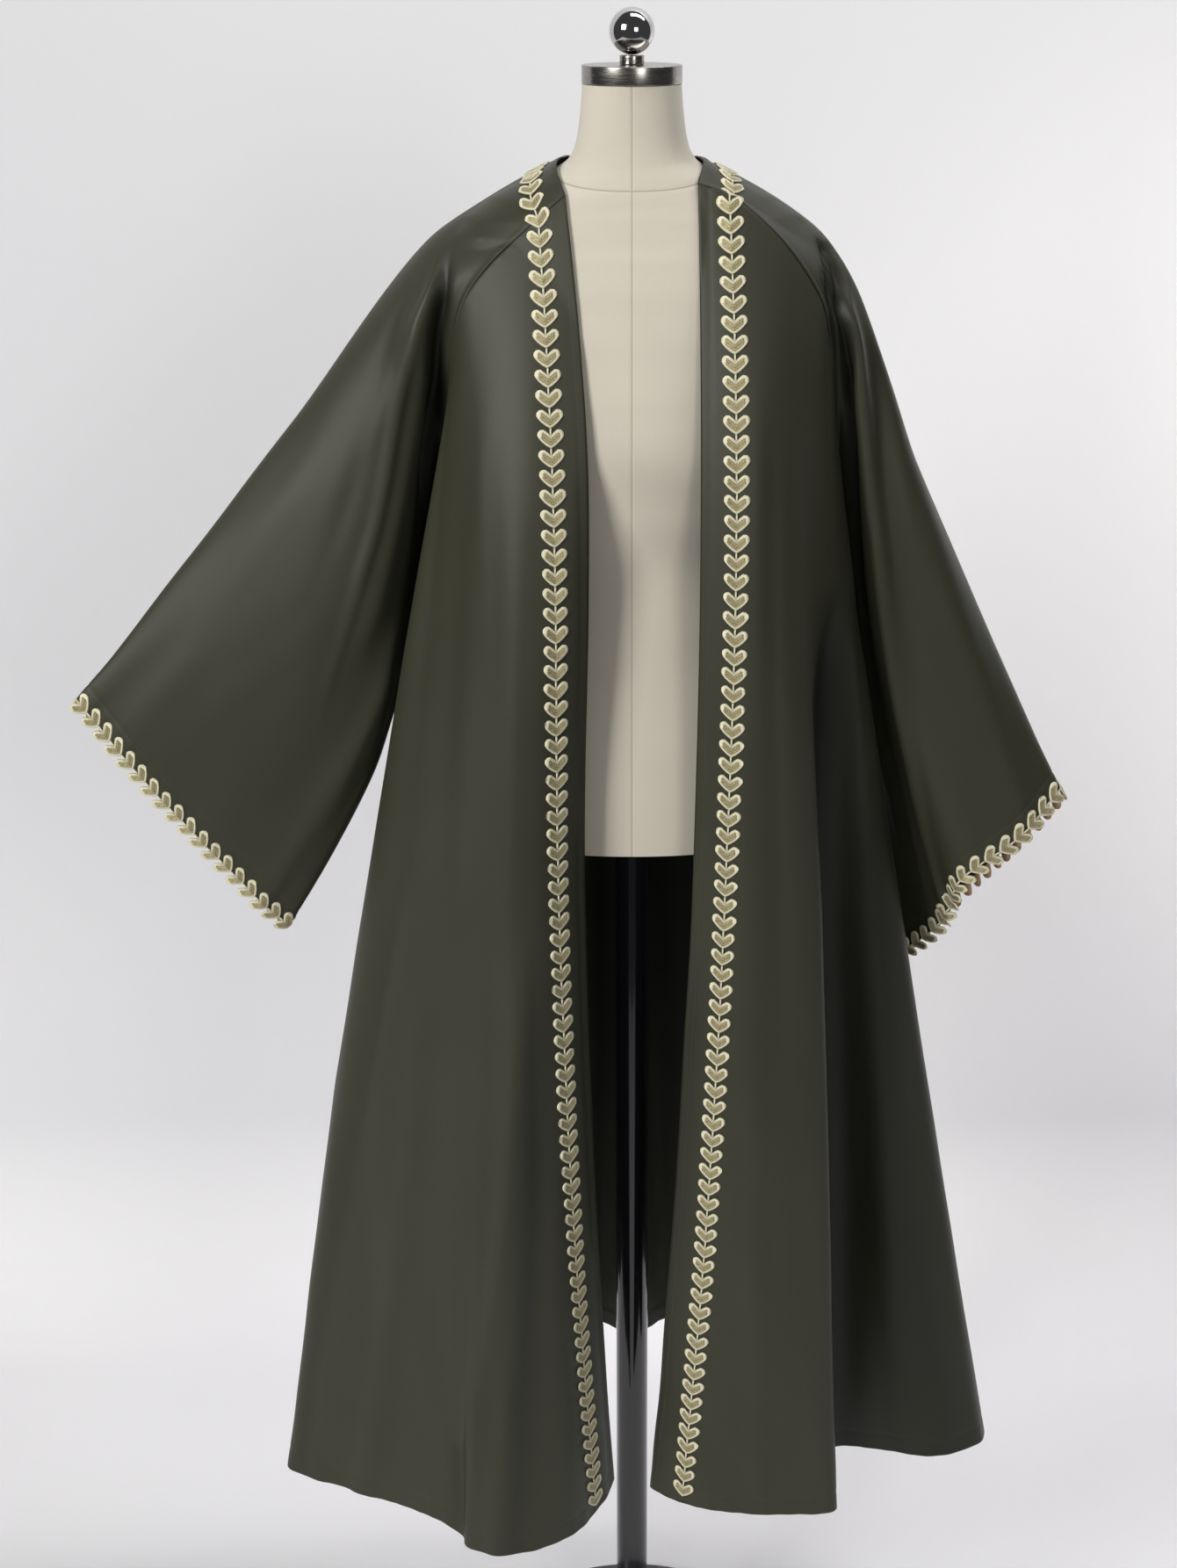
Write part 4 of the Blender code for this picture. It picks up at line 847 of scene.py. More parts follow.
# ---- raglan sleeves
sleevePlans = {
    "right": {
        "name": "sleeveRightCloth", "length": 860.0, "seed": 21, "waves": (0.0002, 0.0010), "allowance": True,
        "creases": [
            # as on the fronts, a fourth number darkens the fold's depth with painted shade
            (-0.0140, 0.008, [(0.168, 4.1), (0.14, 3.38), (0.123, 2.88), (0.138, 2.59), (0.175, 2.41), (0.236, 2.31),
                              (0.288, 2.22), (0.336, 2.03), (0.45, 1.7)], 0.85),
            (0.0090, 0.018, [(0.17, 3.4), (0.19, 2.8), (0.26, 2.62), (0.35, 2.55), (0.5, 2.45), (0.65, 2.3)]),
            (0.0050, 0.007, [(0.165, 4.3), (0.165, 3.62), (0.173, 3.28), (0.211, 3.06), (0.253, 3.0), (0.341, 2.88),
                             (0.404, 2.84), (0.496, 2.84), (0.639, 2.62), (0.76, 2.1)]),
            (-0.0012, 0.012, [(0.2, 3.85), (0.278, 3.72), (0.361, 3.47), (0.5, 3.4), (0.7, 3.3)], 0.12),
            # shade only: paints shade beside the valley and leaves the cloth where it is
            (0.0, 0.011, [(0.12, 2.7), (0.14, 2.25), (0.19, 1.95), (0.26, 1.8), (0.33, 1.65), (0.45, 1.5)], 0.85),
            (0.0012, 0.020, [(0.35, 4.3), (0.6, 4.2), (1.0, 4.1)]),
            (0.0040, 0.015, [(0.2, 7.2), (0.6, 7.1), (1.0, 7.0)]),
            (-0.0035, 0.014, [(0.25, 6.4), (0.6, 6.4), (1.0, 6.5)]),
            (-0.0080, 0.009, [(0.17, 6.1), (0.15, 6.8), (0.16, 7.4), (0.3, 7.8)], 0.5),
            (0.0030, 0.014, [(0.45, 1.4), (0.7, 1.3), (1.0, 1.2)]),
        ],
    },
    "left": {
        "name": "sleeveLeftCloth", "length": 830.0, "seed": 22, "waves": (0.0002, 0.0010), "allowance": True,
        "creases": [
            # as on the fronts, a fourth number darkens the fold's depth with painted shade
            (-0.0060, 0.005, [(0.178, 4.35), (0.165, 4.16), (0.148, 3.62), (0.103, 3.16), (0.058, 2.88), (0.06, 2.66),
                              (0.075, 2.38)], 0.8),
            (0.0030, 0.004, [(0.178, 4.31), (0.168, 3.88), (0.16, 3.5), (0.113, 3.03), (0.11, 2.75), (0.153, 2.5),
                             (0.216, 2.31), (0.3, 2.1)]),
            (-0.0110, 0.008, [(0.185, 4.4), (0.183, 4.25), (0.175, 3.69), (0.145, 3.09), (0.163, 2.81), (0.221, 2.62),
                              (0.283, 2.5), (0.343, 2.38), (0.436, 2.25), (0.584, 1.97), (0.75, 1.5)], 0.85),
            (0.0095, 0.009, [(0.19, 4.1), (0.185, 3.53), (0.19, 3.31), (0.231, 3.19), (0.283, 3.09), (0.386, 3.0),
                             (0.476, 3.0), (0.637, 2.78), (0.789, 2.53), (0.925, 2.12), (1.0, 2.0)]),
            (-0.0030, 0.012, [(0.22, 3.7), (0.4, 3.45), (0.6, 3.3), (0.85, 3.0)], 0.15),
            (0.0022, 0.016, [(0.3, 4.4), (0.6, 4.3), (1.0, 4.2)]),
            (0.0038, 0.015, [(0.2, 7.2), (0.6, 7.1), (1.0, 7.1)]),
            (-0.0032, 0.014, [(0.25, 6.3), (0.6, 6.4), (1.0, 6.4)]),
            (-0.0075, 0.009, [(0.18, 5.9), (0.15, 6.6), (0.15, 7.2), (0.28, 7.7)], 0.5),
        ],
    },
}


def makeSleeve(side):
    plan = sleevePlans[side]
    count = len(sleeveLines[side])
    around = np.linspace(0, count, count * clothMake["sleeveColumns"] + 1)
    rows = rowPlaces(plan["length"], clothMake["sleeveStep"])
    grid = sleeveSurface(side, around, rows)
    # corners that the fold lines leave are eased, away from the seam and the cuff
    passes, nearSeam, wellDown = clothMake["sleeveEase"]
    grid[-1] = grid[0]
    soft = grid[:-1].copy()
    for _ in range(passes):
        soft = soft * 0.5 + (np.roll(soft, 1, axis=0) + np.roll(soft, -1, axis=0)) * 0.25
    ease = smoothStep(rows * plan["length"], nearSeam, wellDown) * (1 - smoothStep(rows, 0.9, 1.0))
    grid[:-1] += (soft - grid[:-1]) * ease[None, :, None]
    grid = clearOfForm(grid)
    grid[-1] = grid[0]
    return makeCloth(plan, grid, around, rows, ("top",), ring=True, flip=side == "left")


sleeves = {side: makeSleeve(side) for side in ("right", "left")}
print("sleeves made")


# ---- heart trim: one heart, laid in a chain along each edge by geometry nodes
heart = {
    # mm: for each step out from the middle, the point on the lower edge and the one on the upper edge
    "arm": (((0.0, -10.4), (0.0, 3.4)), ((4.9, -7.5), (3.6, 7.1)), ((9.5, -3.4), (7.3, 9.9)),
            ((12.7, 0.6), (10.9, 9.5)), ((14.0, 3.4), (13.5, 7.0))),
    # share of the way from the lower edge to the upper one, height in mm, 1 where the thread is gold
    "rows": ((0.0, 0.0, 0.0), (0.08, 1.7, 0.0), (0.20, 0.8, 0.5), (0.34, 1.45, 1.0), (0.47, 0.95, 0.8),
             (0.61, 1.45, 1.0), (0.77, 0.8, 0.5), (0.91, 1.7, 0.0), (1.0, 0.0, 0.0)),
    "stem": (1.6, 10.7, 0.9, 1.1),   # from, to, half width, height
    "pitch": 0.0205,
}


def heartMesh():
    mm = 0.001
    steps, rows = len(heart["arm"]), heart["rows"]
    verts, gold, faces, kinds, number = [], [], [], [], {}
    for side in (1, -1):
        for k, (low, high) in enumerate(heart["arm"]):
            for r, (share, height, tone) in enumerate(rows):
                if side == -1 and k == 0:
                    number[-1, 0, r] = number[1, 0, r]
                    continue
                x, y = (low[n] + (high[n] - low[n]) * share for n in (0, 1))
                if k == steps - 1:      # the lobe's end
                    height, tone = 0.0, 0.0
                elif k == steps - 2:    # the cord goes round it
                    height, tone = (0.0, 0.0) if r in (0, len(rows) - 1) else (1.6, 0.0)
                number[side, k, r] = len(verts)
                verts.append((side * x * mm, y * mm, height * mm))
                gold.append(tone)
    for side in (1, -1):
        for k in range(steps - 1):
            for r in range(len(rows) - 1):
                face = [number[side, k, r], number[side, k + 1, r], number[side, k + 1, r + 1], number[side, k, r + 1]]
                faces.append(face[::side])
                kinds.append(0)
            top = len(rows) - 1
            face = [number[side, k, 0], number[side, k, top], number[side, k + 1, top], number[side, k + 1, 0]]
            faces.append(face[::side])
            kinds.append(1)
        end = [number[side, steps - 1, r] for r in range(len(rows))]
        faces.append(end[::-side])
        kinds.append(1)
    start, finish, wide, high = (part * mm for part in heart["stem"])
    first = len(verts)
    for y in (start, finish):
        verts += [(-wide, y, 0), (wide, y, 0), (wide, y, high), (-wide, y, high)]
        gold += [0.0] * 4
    for k in range(4):
        n = (k + 1) % 4
        faces.append((first + k, first + 4 + k, first + 4 + n, first + n))
        kinds.append(1 if k == 0 else 0)
    faces += [(first, first + 1, first + 2, first + 3), (first + 7, first + 6, first + 5, first + 4)]
    kinds += [0, 0]
    mesh = bpy.data.meshes.new("oneHeart")
    mesh.from_pydata(verts, [], faces)
    markMesh(mesh, "goldRow", "FLOAT", "POINT", gold)
    markMesh(mesh, "reverseFace", "FLOAT", "FACE", [float(kind) for kind in kinds])
    places = mesh.uv_layers.new(name="motifUV").data
    for loop in mesh.loops:
        places[loop.index].uv = verts[loop.vertex_index][:2]
    smoothFaces(mesh)
    return mesh


def stitchMesh():
    # one machine stitch, 3 mm long, sunk at both ends
    shape = bmesh.new()
    rings = []
    for y, wide, low, high in ((-0.0015, 0.00012, -0.0004, -0.0001), (-0.0009, 0.00022, -0.0002, 0.00018),
                               (0.0009, 0.00022, -0.0002, 0.00018), (0.0015, 0.00012, -0.0004, -0.0001)):
        rings.append([shape.verts.new(place) for place in ((-wide, y, low), (wide, y, low), (wide, y, high),
                                                           (-wide, y, high))])
    for one, two in zip(rings, rings[1:]):
        for k in range(4):
            shape.faces.new((one[k], one[(k + 1) % 4], two[(k + 1) % 4], two[k]))
    shape.faces.new(rings[0][::-1])
    shape.faces.new(rings[-1])
    mesh = bpy.data.meshes.new("oneStitch")
    writeOutwards(shape, mesh)
    return mesh


def makePathTree():
    # copies of one motif follow a path, bent with it, and are then pressed onto the cloth below
    tree = bpy.data.node_groups.new("motifsAlongPath", "GeometryNodeTree")
    tree.is_modifier = True
    for label, kind in (("Path", "Geometry"), ("Motif", "Object"), ("Ground", "Object"), ("Count", "Int"),
                        ("Closed", "Bool"), ("Lift", "Float"), ("Turn", "Float"), ("Uneven", "Float"),
                        ("Seed", "Int"), ("Face", "Material"), ("Reverse", "Material")):
        tree.interface.new_socket(label, in_out="INPUT", socket_type="NodeSocket" + kind)
    tree.interface.new_socket("Motifs", in_out="OUTPUT", socket_type="NodeSocketGeometry")
    given = tree.nodes.new("NodeGroupInput").outputs
    wanted = tree.nodes.new("NodeGroupOutput")

    def node(kind, feeds=None, **values):
        return addNode(tree, kind, feeds, **values)

    def vectors(operation, first, second=None, scale=None):
        feeds = {0: first}
        if second is not None:
            feeds[1] = second
        if scale is not None:
            feeds["Scale"] = scale
        made = node("ShaderNodeVectorMath", feeds, operation=operation)
        return made.outputs["Value" if operation in ("DOT_PRODUCT", "LENGTH") else "Vector"]

    curve = node("GeometryNodeMeshToCurve", {"Mesh": given["Path"]}).outputs[0]
    length = node("GeometryNodeCurveLength", {"Curve": curve}).outputs["Length"]
    points = node("GeometryNodePoints", {"Count": given["Count"]}).outputs[0]
    order = node("GeometryNodeInputIndex").outputs[0]
    share = doMath(tree, "DIVIDE", doMath(tree, "ADD", order, 0.5), given["Count"])
    numbered = node("GeometryNodeStoreNamedAttribute", {"Geometry": points, "Name": "pathShare", "Value": share},
                    data_type="FLOAT", domain="POINT").outputs[0]
    motif = node("GeometryNodeObjectInfo", {"Object": given["Motif"]}).outputs["Geometry"]
    turn = node("FunctionNodeRandomValue", {"Seed": given["Seed"]}, data_type="FLOAT")
    size = node("FunctionNodeRandomValue", {"Seed": doMath(tree, "ADD", given["Seed"], 7.0)}, data_type="FLOAT")
    for made, middle, spread in ((turn, 0.0, given["Turn"]), (size, 1.0, given["Uneven"])):
        tree.links.new(doMath(tree, "SUBTRACT", middle, spread), made.inputs[2])
        tree.links.new(doMath(tree, "ADD", middle, spread), made.inputs[3])
    spin = node("ShaderNodeCombineXYZ", {"Z": turn.outputs[1]}).outputs[0]
    spun = node("FunctionNodeEulerToRotation", {0: spin}).outputs[0]
    copies = node("GeometryNodeInstanceOnPoints", {"Points": numbered, "Instance": motif, "Rotation": spun,
                                                   "Scale": size.outputs[1]}).outputs[0]
    loose = node("GeometryNodeRealizeInstances", {"Geometry": copies}).outputs[0]
    local = node("ShaderNodeSeparateXYZ", {0: node("GeometryNodeInputPosition").outputs[0]}).outputs
    ownShare = node("GeometryNodeInputNamedAttribute", {"Name": "pathShare"}, data_type="FLOAT").outputs[0]
    place = doMath(tree, "SUBTRACT", ownShare, doMath(tree, "DIVIDE", local[1], length))
    wrapped = doMath(tree, "FRACT", doMath(tree, "ADD", place, 1.0))
    place = node("GeometryNodeSwitch", {"Switch": given["Closed"], "False": place, "True": wrapped},
                 input_type="FLOAT").outputs[0]
    up = node("GeometryNodeInputNamedAttribute", {"Name": "clothNormal"}, data_type="FLOAT_VECTOR").outputs[0]
    spot = node("GeometryNodeSampleCurve", {"Curves": curve, "Value": up, "Factor": place}, mode="FACTOR",
                data_type="FLOAT_VECTOR", use_all_curves=True).outputs
    forward, outward = spot["Tangent"], spot["Value"]
    leaning = vectors("SCALE", forward, scale=vectors("DOT_PRODUCT", outward, forward))
    outward = vectors("NORMALIZE", vectors("SUBTRACT", outward, leaning))
    aside = vectors("SCALE", vectors("CROSS_PRODUCT", outward, forward), scale=local[0])
    foot = vectors("ADD", spot["Position"], aside)
    ground = node("GeometryNodeObjectInfo", {"Object": given["Ground"]}).outputs["Geometry"]
    nearest = node("GeometryNodeProximity", {0: ground, "Sample Position": foot}, target_element="FACES")
    height = doMath(tree, "ADD", local[2], given["Lift"])
    step = vectors("DOT_PRODUCT", vectors("SUBTRACT", nearest.outputs["Position"], foot), outward)
    laid = vectors("ADD", foot, vectors("SCALE", outward, scale=doMath(tree, "ADD", step, height)))
    bent = node("GeometryNodeSetPosition", {"Geometry": loose, "Position": laid}).outputs[0]
    faced = node("GeometryNodeSetMaterial", {"Geometry": bent, "Material": given["Face"]}).outputs[0]
    backs = node("GeometryNodeInputNamedAttribute", {"Name": "reverseFace"}, data_type="FLOAT").outputs[0]
    lined = node("GeometryNodeSetMaterial", {"Geometry": faced, "Material": given["Reverse"],
                                             "Selection": doMath(tree, "GREATER_THAN", backs, 0.5)}).outputs[0]
    tree.links.new(lined, wanted.inputs[0])
    return tree


pathTree = makePathTree()


def pathMesh(name, points, normals, closed):
    edges = [(k, k + 1) for k in range(len(points) - 1)] + ([(len(points) - 1, 0)] if closed else [])
    mesh = bpy.data.meshes.new(name)
    mesh.from_pydata(points.tolist(), edges, [])
    markMesh(mesh, "clothNormal", "FLOAT_VECTOR", "POINT", normals.reshape(-1))
    return mesh


def groundMesh(sheets):
    # the outer faces that a trim lies on, as one mesh
    verts, faces, offset = [], [], 0
    for grid in sheets:
        columns, rows = grid.shape[:2]
        faces.append(cellCorners(columns, rows) + offset)
        verts.append(grid.reshape(-1, 3))
        offset += columns * rows
    mesh = bpy.data.meshes.new("trimGround")
    mesh.from_pydata(np.concatenate(verts).tolist(), [], np.concatenate(faces).tolist())
    return mesh


def layAlong(name, path, normals, sheets, spacing, **settings):
    # a run of motifs along the path, pressed onto the sheets; settings are the tree's other inputs
    count = int(round(pathLength(path, settings["Closed"]) / spacing))
    ground = addPiece("trimGround", groundMesh(sheets))
    piece = addPiece(name, pathMesh(name + "Path", path, normals, settings["Closed"]))
    modifier = piece.modifiers.new("lay", "NODES")
    modifier.node_group = pathTree
    values = {**settings, "Ground": ground, "Count": count}
    for item in pathTree.interface.items_tree:
        if item.item_type == "SOCKET" and item.in_out == "INPUT" and item.name in values:
            modifier[item.identifier] = values[item.name]
    graph = bpy.context.evaluated_depsgraph_get()
    mesh = bpy.data.meshes.new_from_object(piece.evaluated_get(graph), preserve_all_data_layers=True, depsgraph=graph)
    piece.modifiers.remove(modifier)
    piece.data = mesh
    mesh.name = name
    bpy.data.objects.remove(ground)
    print(name, count, "copies laid")
    return piece


def evenPath(points, normals, step, smooth=0):
    # points every step along a line, with its corners softened
    length = np.concatenate([[0], np.cumsum(np.linalg.norm(np.diff(points, axis=0), axis=1))])
    count = max(2, int(round(length[-1] / step)) + 1)
    at = np.linspace(0, length[-1], count)
    both = np.concatenate([points, normals], axis=1)
    both = np.stack([np.interp(at, length, both[:, k]) for k in range(6)], axis=1)
    for _ in range(smooth):
        both[1:-1] = both[1:-1] * 0.5 + (both[:-2] + both[2:]) * 0.25
    return both[:, :3], unitRows(both[:, 3:])


def pathLength(points, closed=False):
    ends = np.concatenate([points, points[:1]]) if closed else points
    return np.linalg.norm(np.diff(ends, axis=0), axis=1).sum()


def onPanel(panel, lines, rows):
    # points and normals of the cloth under a trim
    return [gridRead(panel[part], panel["lines"], panel["rows"], lines, rows) for part in ("under", "underNormals")]


trimChains = {
    "right": {"front": "frontRightCloth", "napeLine": 14.0, "frontLine": 1.0, "seed": 31},
    "left": {"front": "frontLeftCloth", "napeLine": 18.0, "frontLine": 30.0, "seed": 32},
}
trimLay = {
    "napeRow": 0.024, "shoulderRow": 0.0465,     # how far below the neckline the chain runs, as a row share
    "atSeam": (0.0, 0.001, 0.002),               # rows that carry it over the raglan seam
    "hemEnd": 0.9935,
    "frontLift": 0.0006, "frontTurn": 0.03, "cuffLift": 0.00025, "cuffTurn": 0.05, "uneven": 0.02,
    "beyondCuff": (0.004, 0.008, 0.012, 0.017),  # the cuff's hearts hang past its edge by up to the last of these
}


def frontChain(side, motif):
    plan = trimChains[side]
    panels = bodyPanels["backCloth"], sleeves[side], bodyPanels[plan["front"]]
    centre = lineNames.index("centre")
    atNape = np.linspace(centre, plan["napeLine"], 20)
    overTop = np.linspace(topLine + 1, topLine - 1, 30)[1:-1]
    downFront = np.concatenate([trimLay["atSeam"], np.linspace(0.004, trimLay["hemEnd"], 317)])
    parts = [onPanel(panels[0], atNape, np.full(len(atNape), trimLay["napeRow"])),
             onPanel(panels[1], overTop, np.full(len(overTop), trimLay["shoulderRow"])),
             onPanel(panels[2], np.full(len(downFront), plan["frontLine"]), downFront)]
    points, normals = evenPath(*(np.concatenate([part[k] for part in parts]) for k in (0, 1)), 0.003, 4)
    return layAlong("heartTrim" + side.capitalize(), points, normals, [panel["under"] for panel in panels],
                    heart["pitch"], Motif=motif, Closed=False, Lift=trimLay["frontLift"], Turn=trimLay["frontTurn"],
                    Uneven=trimLay["uneven"], Seed=plan["seed"], Face=heartThread, Reverse=heartReverse)


def cuffChain(side, motif):
    grid, normals = sleeves[side]["grid"], sleeves[side]["normals"]
    edge, above = grid[:, -1], grid[:, -4]
    away = unitRows(edge - above)
    beyond = np.stack([edge + away * step for step in trimLay["beyondCuff"]], axis=1)
    cuff = np.concatenate([grid[:, -16:], beyond], axis=1)
    return layAlong("heartCuff" + side.capitalize(), edge[:-1][::-1], normals[:-1, -1][::-1], [cuff],
                    heart["pitch"], Motif=motif, Closed=True, Lift=trimLay["cuffLift"], Turn=trimLay["cuffTurn"],
                    Uneven=trimLay["uneven"], Seed=40, Face=heartThread, Reverse=heartReverse)


oneHeart = addPiece("oneHeart", heartMesh())
frontTrims = {side: frontChain(side, oneHeart) for side in ("right", "left")}
cuffTrims = {side: cuffChain(side, oneHeart) for side in ("right", "left")}
bpy.data.objects.remove(oneHeart)


# ---- sewing thread along the hems and the edges
stitching = {"spacing": 0.0044, "hemIn": 0.0205, "edgeIn": 0.0095, "lift": 0.00002, "turn": 0.04, "uneven": 0.03}


def stitchRun(name, panel, seed, openEdge=None):
    # along the hem, and up the open front edge where the panel has one
    grid = panel["grid"]
    columnNumbers, rowNumbers = (np.arange(size, dtype=float) for size in grid.shape[:2])
    columns = columnNumbers
    rows = np.array([np.interp(down[-1] - stitching["hemIn"], down, rowNumbers) for down in arcDown(grid)])
    if openEdge:
        atFirst = openEdge == "first"
        edge = [np.interp(stitching["edgeIn"] if atFirst else across[-1] - stitching["edgeIn"], across, columnNumbers)
                for across in arcAcross(grid).T]
        aboveHem = rowNumbers <= rows[0 if atFirst else -1]
        upColumns, upRows = np.array(edge)[aboveHem][::-1], rowNumbers[aboveHem][::-1]
        inside = columns >= upColumns[0] if atFirst else columns <= upColumns[0]
        towardsEdge = -1 if atFirst else 1
        columns = np.concatenate([columns[inside][::towardsEdge], upColumns])
        rows = np.concatenate([rows[inside][::towardsEdge], upRows])
    lines, shares = (np.interp(columns, columnNumbers, panel["lines"]), np.interp(rows, rowNumbers, panel["rows"]))
    points, up = evenPath(*onPanel(panel, lines, shares), 0.003, 2)
    return layAlong(name, points, up, [grid], stitching["spacing"], Motif=oneStitch, Closed=False,
                    Lift=stitching["lift"], Turn=stitching["turn"], Uneven=stitching["uneven"], Seed=seed,
                    Face=stitchThread, Reverse=stitchThread)


madePanels = {**bodyPanels, "sleeveRightCloth": sleeves["right"], "sleeveLeftCloth": sleeves["left"]}
stitchPlans = {   # the run's name, its seed, and the open edge that it climbs
    "frontRightCloth": ("stitchesFrontRight", 51, "first"),
    "backCloth": ("stitchesBack", 52, None),
    "frontLeftCloth": ("stitchesFrontLeft", 53, "last"),
    "sleeveRightCloth": ("stitchesCuffRight", 54, None),
    "sleeveLeftCloth": ("stitchesCuffLeft", 55, None),
}
oneStitch = addPiece("oneStitch", stitchMesh())
stitchRuns = {cloth: stitchRun(name, madePanels[cloth], seed, openEdge)
              for cloth, (name, seed, openEdge) in stitchPlans.items()}
bpy.data.objects.remove(oneStitch)
print("trims and stitching laid")


# ---- the padded form and its stand
def formSeamDistance(grid, angles, drops, halfWidths):
    # from each point to the centre, side panel and neck seams
    side, front, backward = formSizes["neckSeam"]
    facing = -np.sin(angles)[:, None]
    neckDrop = side + np.where(facing > 0, front, -backward) * np.abs(facing)**1.5
    panelAway = np.abs(grid[..., 0]) - formSizes["panelLine"] * halfWidths[None, :]
    panelAway = np.where(drops[None, :] > formSizes["panelTop"], panelAway, 1.0)
    return np.stack([grid[..., 0], panelAway, drops[None, :] - neckDrop], axis=2)


def makeForm():
    rings = np.array(formSizes["rings"])
    (closeCount, closeTo), plainCount = formSizes["closeRows"], formSizes["plainRows"]
    drops = np.concatenate([np.linspace(rings[0, 0], closeTo, closeCount),
                            np.linspace(closeTo, rings[-1, 0], plainCount)[1:]])
    half, front, behind = (smoothRows(rings[:, 0], rings[:, k], drops, tension=0.8) for k in (1, 2, 3))
    angles = np.linspace(0, 2 * math.pi, formSizes["columns"], endpoint=False)
    power = 2 / formSizes["power"]
    x, y = (np.sign(turn) * np.abs(turn)**power for turn in (np.cos(angles), np.sin(angles)))
    depth = np.where(y[:, None] < 0, front[None, :], behind[None, :])
    grid = np.stack([x[:, None] * half[None, :], y[:, None] * depth,
                     np.broadcast_to(capTop - drops, (len(angles), len(drops)))], axis=2)
    seamAway = formSeamDistance(grid, angles, drops, half)
    columns, rows = grid.shape[:2]
    faces = cellCorners(columns, rows, ringed=True).tolist()
    verts = grid.reshape(-1, 3).tolist() + [(0, 0, capTop - drops[0]), (0, 0, capTop - drops[-1])]
    top, bottom = len(verts) - 2, len(verts) - 1
    ringStarts = [k * rows for k in range(columns)] + [0]
    for here, beside in zip(ringStarts, ringStarts[1:]):
        faces += [(here, beside, top), (beside + rows - 1, here + rows - 1, bottom)]
    mesh = bpy.data.meshes.new("dressForm")
    mesh.from_pydata(verts, [], faces)
    markMesh(mesh, "seamAway", "FLOAT_VECTOR", "POINT",
             np.concatenate([seamAway.reshape(-1), np.ones(6)]).astype(np.float32))
    arc = arcAcross(grid)
    flat = np.concatenate([np.stack([arc, np.broadcast_to(-drops, arc.shape)], axis=2).reshape(-1, 2),
                           [[0, 0], [0, -1]]])
    corners = np.zeros(len(mesh.loops), np.int32)
    mesh.loops.foreach_get("vertex_index", corners)
    mesh.uv_layers.new(name="formUV").data.foreach_set("uv", flat[corners].reshape(-1).astype(np.float32))
    smoothFaces(mesh)
    mesh.update()
    shape = bmesh.new()
    shape.from_mesh(mesh)
    writeOutwards(shape, mesh)
    mesh.set_sharp_from_angle(angle=math.radians(50))
    mesh.materials.append(formJersey)
    return addPiece("dressForm", mesh)


stand = {
    "gap": 0.0003,
    "baseRadius": 0.205, "baseHeight": 0.014, "baseEdge": 0.003,
    "poleRadius": 0.0195, "torsoBottom": 1.190,
    "poleEdge": 0.0008, "capRadius": 0.0525, "capHeight": 0.019, "capEdge": 0.0012,
    "collarRadius": 0.0128, "collarHeight": 0.0092, "collarEdge": 0.0009, "ballRadius": 0.0237,
}


def roundedDisc(radius, bottom, top, edge, steps=5):
    # half outline of a disc with rounded rims, from its middle below to its middle above
    quarter = [math.pi / 2 * k / steps for k in range(steps + 1)]
    inside = radius - edge
    outline = [(0.0, bottom), (radius * 0.5, bottom), (radius - edge * 2, bottom)]
    outline += [(inside + edge * math.sin(turn), bottom + edge - edge * math.cos(turn)) for turn in quarter]
    outline += [(inside + edge * math.cos(turn), top - edge + edge * math.sin(turn)) for turn in quarter]
    return outline + [(radius - edge * 2, top), (radius * 0.5, top), (0.0, top)]


def turnedPiece(name, outline, finish, segments=96):
    shape = bmesh.new()
    turns = [2 * math.pi * k / segments for k in range(segments)]
    rings = [[shape.verts.new((radius * math.cos(turn), radius * math.sin(turn), z))
              for turn in (turns if radius > 1e-6 else turns[:1])] for radius, z in outline]
    for one, two in zip(rings, rings[1:]):
        for k in range(segments):
            n = (k + 1) % segments
            corners = [one[k % len(one)], one[n % len(one)], two[n % len(two)], two[k % len(two)]]
            shape.faces.new(list(dict.fromkeys(corners)))
    mesh = bpy.data.meshes.new(name)
    writeOutwards(shape, mesh)
    smoothFaces(mesh)
    mesh.set_sharp_from_angle(angle=math.radians(40))
    mesh.materials.append(hard[finish])
    return addPiece(name, mesh)


def ballOutline(radius, middle, steps=40):
    turns = [math.pi * k / steps for k in range(1, steps)]
    return [(0.0, middle - radius), *((radius * math.sin(turn), middle - radius * math.cos(turn)) for turn in turns),
            (0.0, middle + radius)]


def makeStand():
    gap = stand["gap"]
    collarTop = capTop + gap + stand["collarHeight"]
    base = roundedDisc(stand["baseRadius"], 0.0, stand["baseHeight"], stand["baseEdge"])
    pole = roundedDisc(stand["poleRadius"], stand["baseHeight"] + gap, stand["torsoBottom"] - gap, stand["poleEdge"])
    cap = roundedDisc(stand["capRadius"], capTop - stand["capHeight"], capTop, stand["capEdge"])
    collar = roundedDisc(stand["collarRadius"], capTop + gap, collarTop, stand["collarEdge"])
    ball = ballOutline(stand["ballRadius"], collarTop + gap + stand["ballRadius"])
    return {"base": turnedPiece("standBase", base, "blackPlatePaint", 160),
            "pole": turnedPiece("standPole", pole, "glossBlackPaint", 64),
            "neck_cap": turnedPiece("neckCap", cap, "brushedCap", 128),
            "finial_collar": turnedPiece("ballCollar", collar, "brushedCap", 64),
            "finial_ball": turnedPiece("polishedFinial", ball, "polishedBall", 80)}


dressForm = makeForm()
standPieces = makeStand()
print("dress form and stand made")


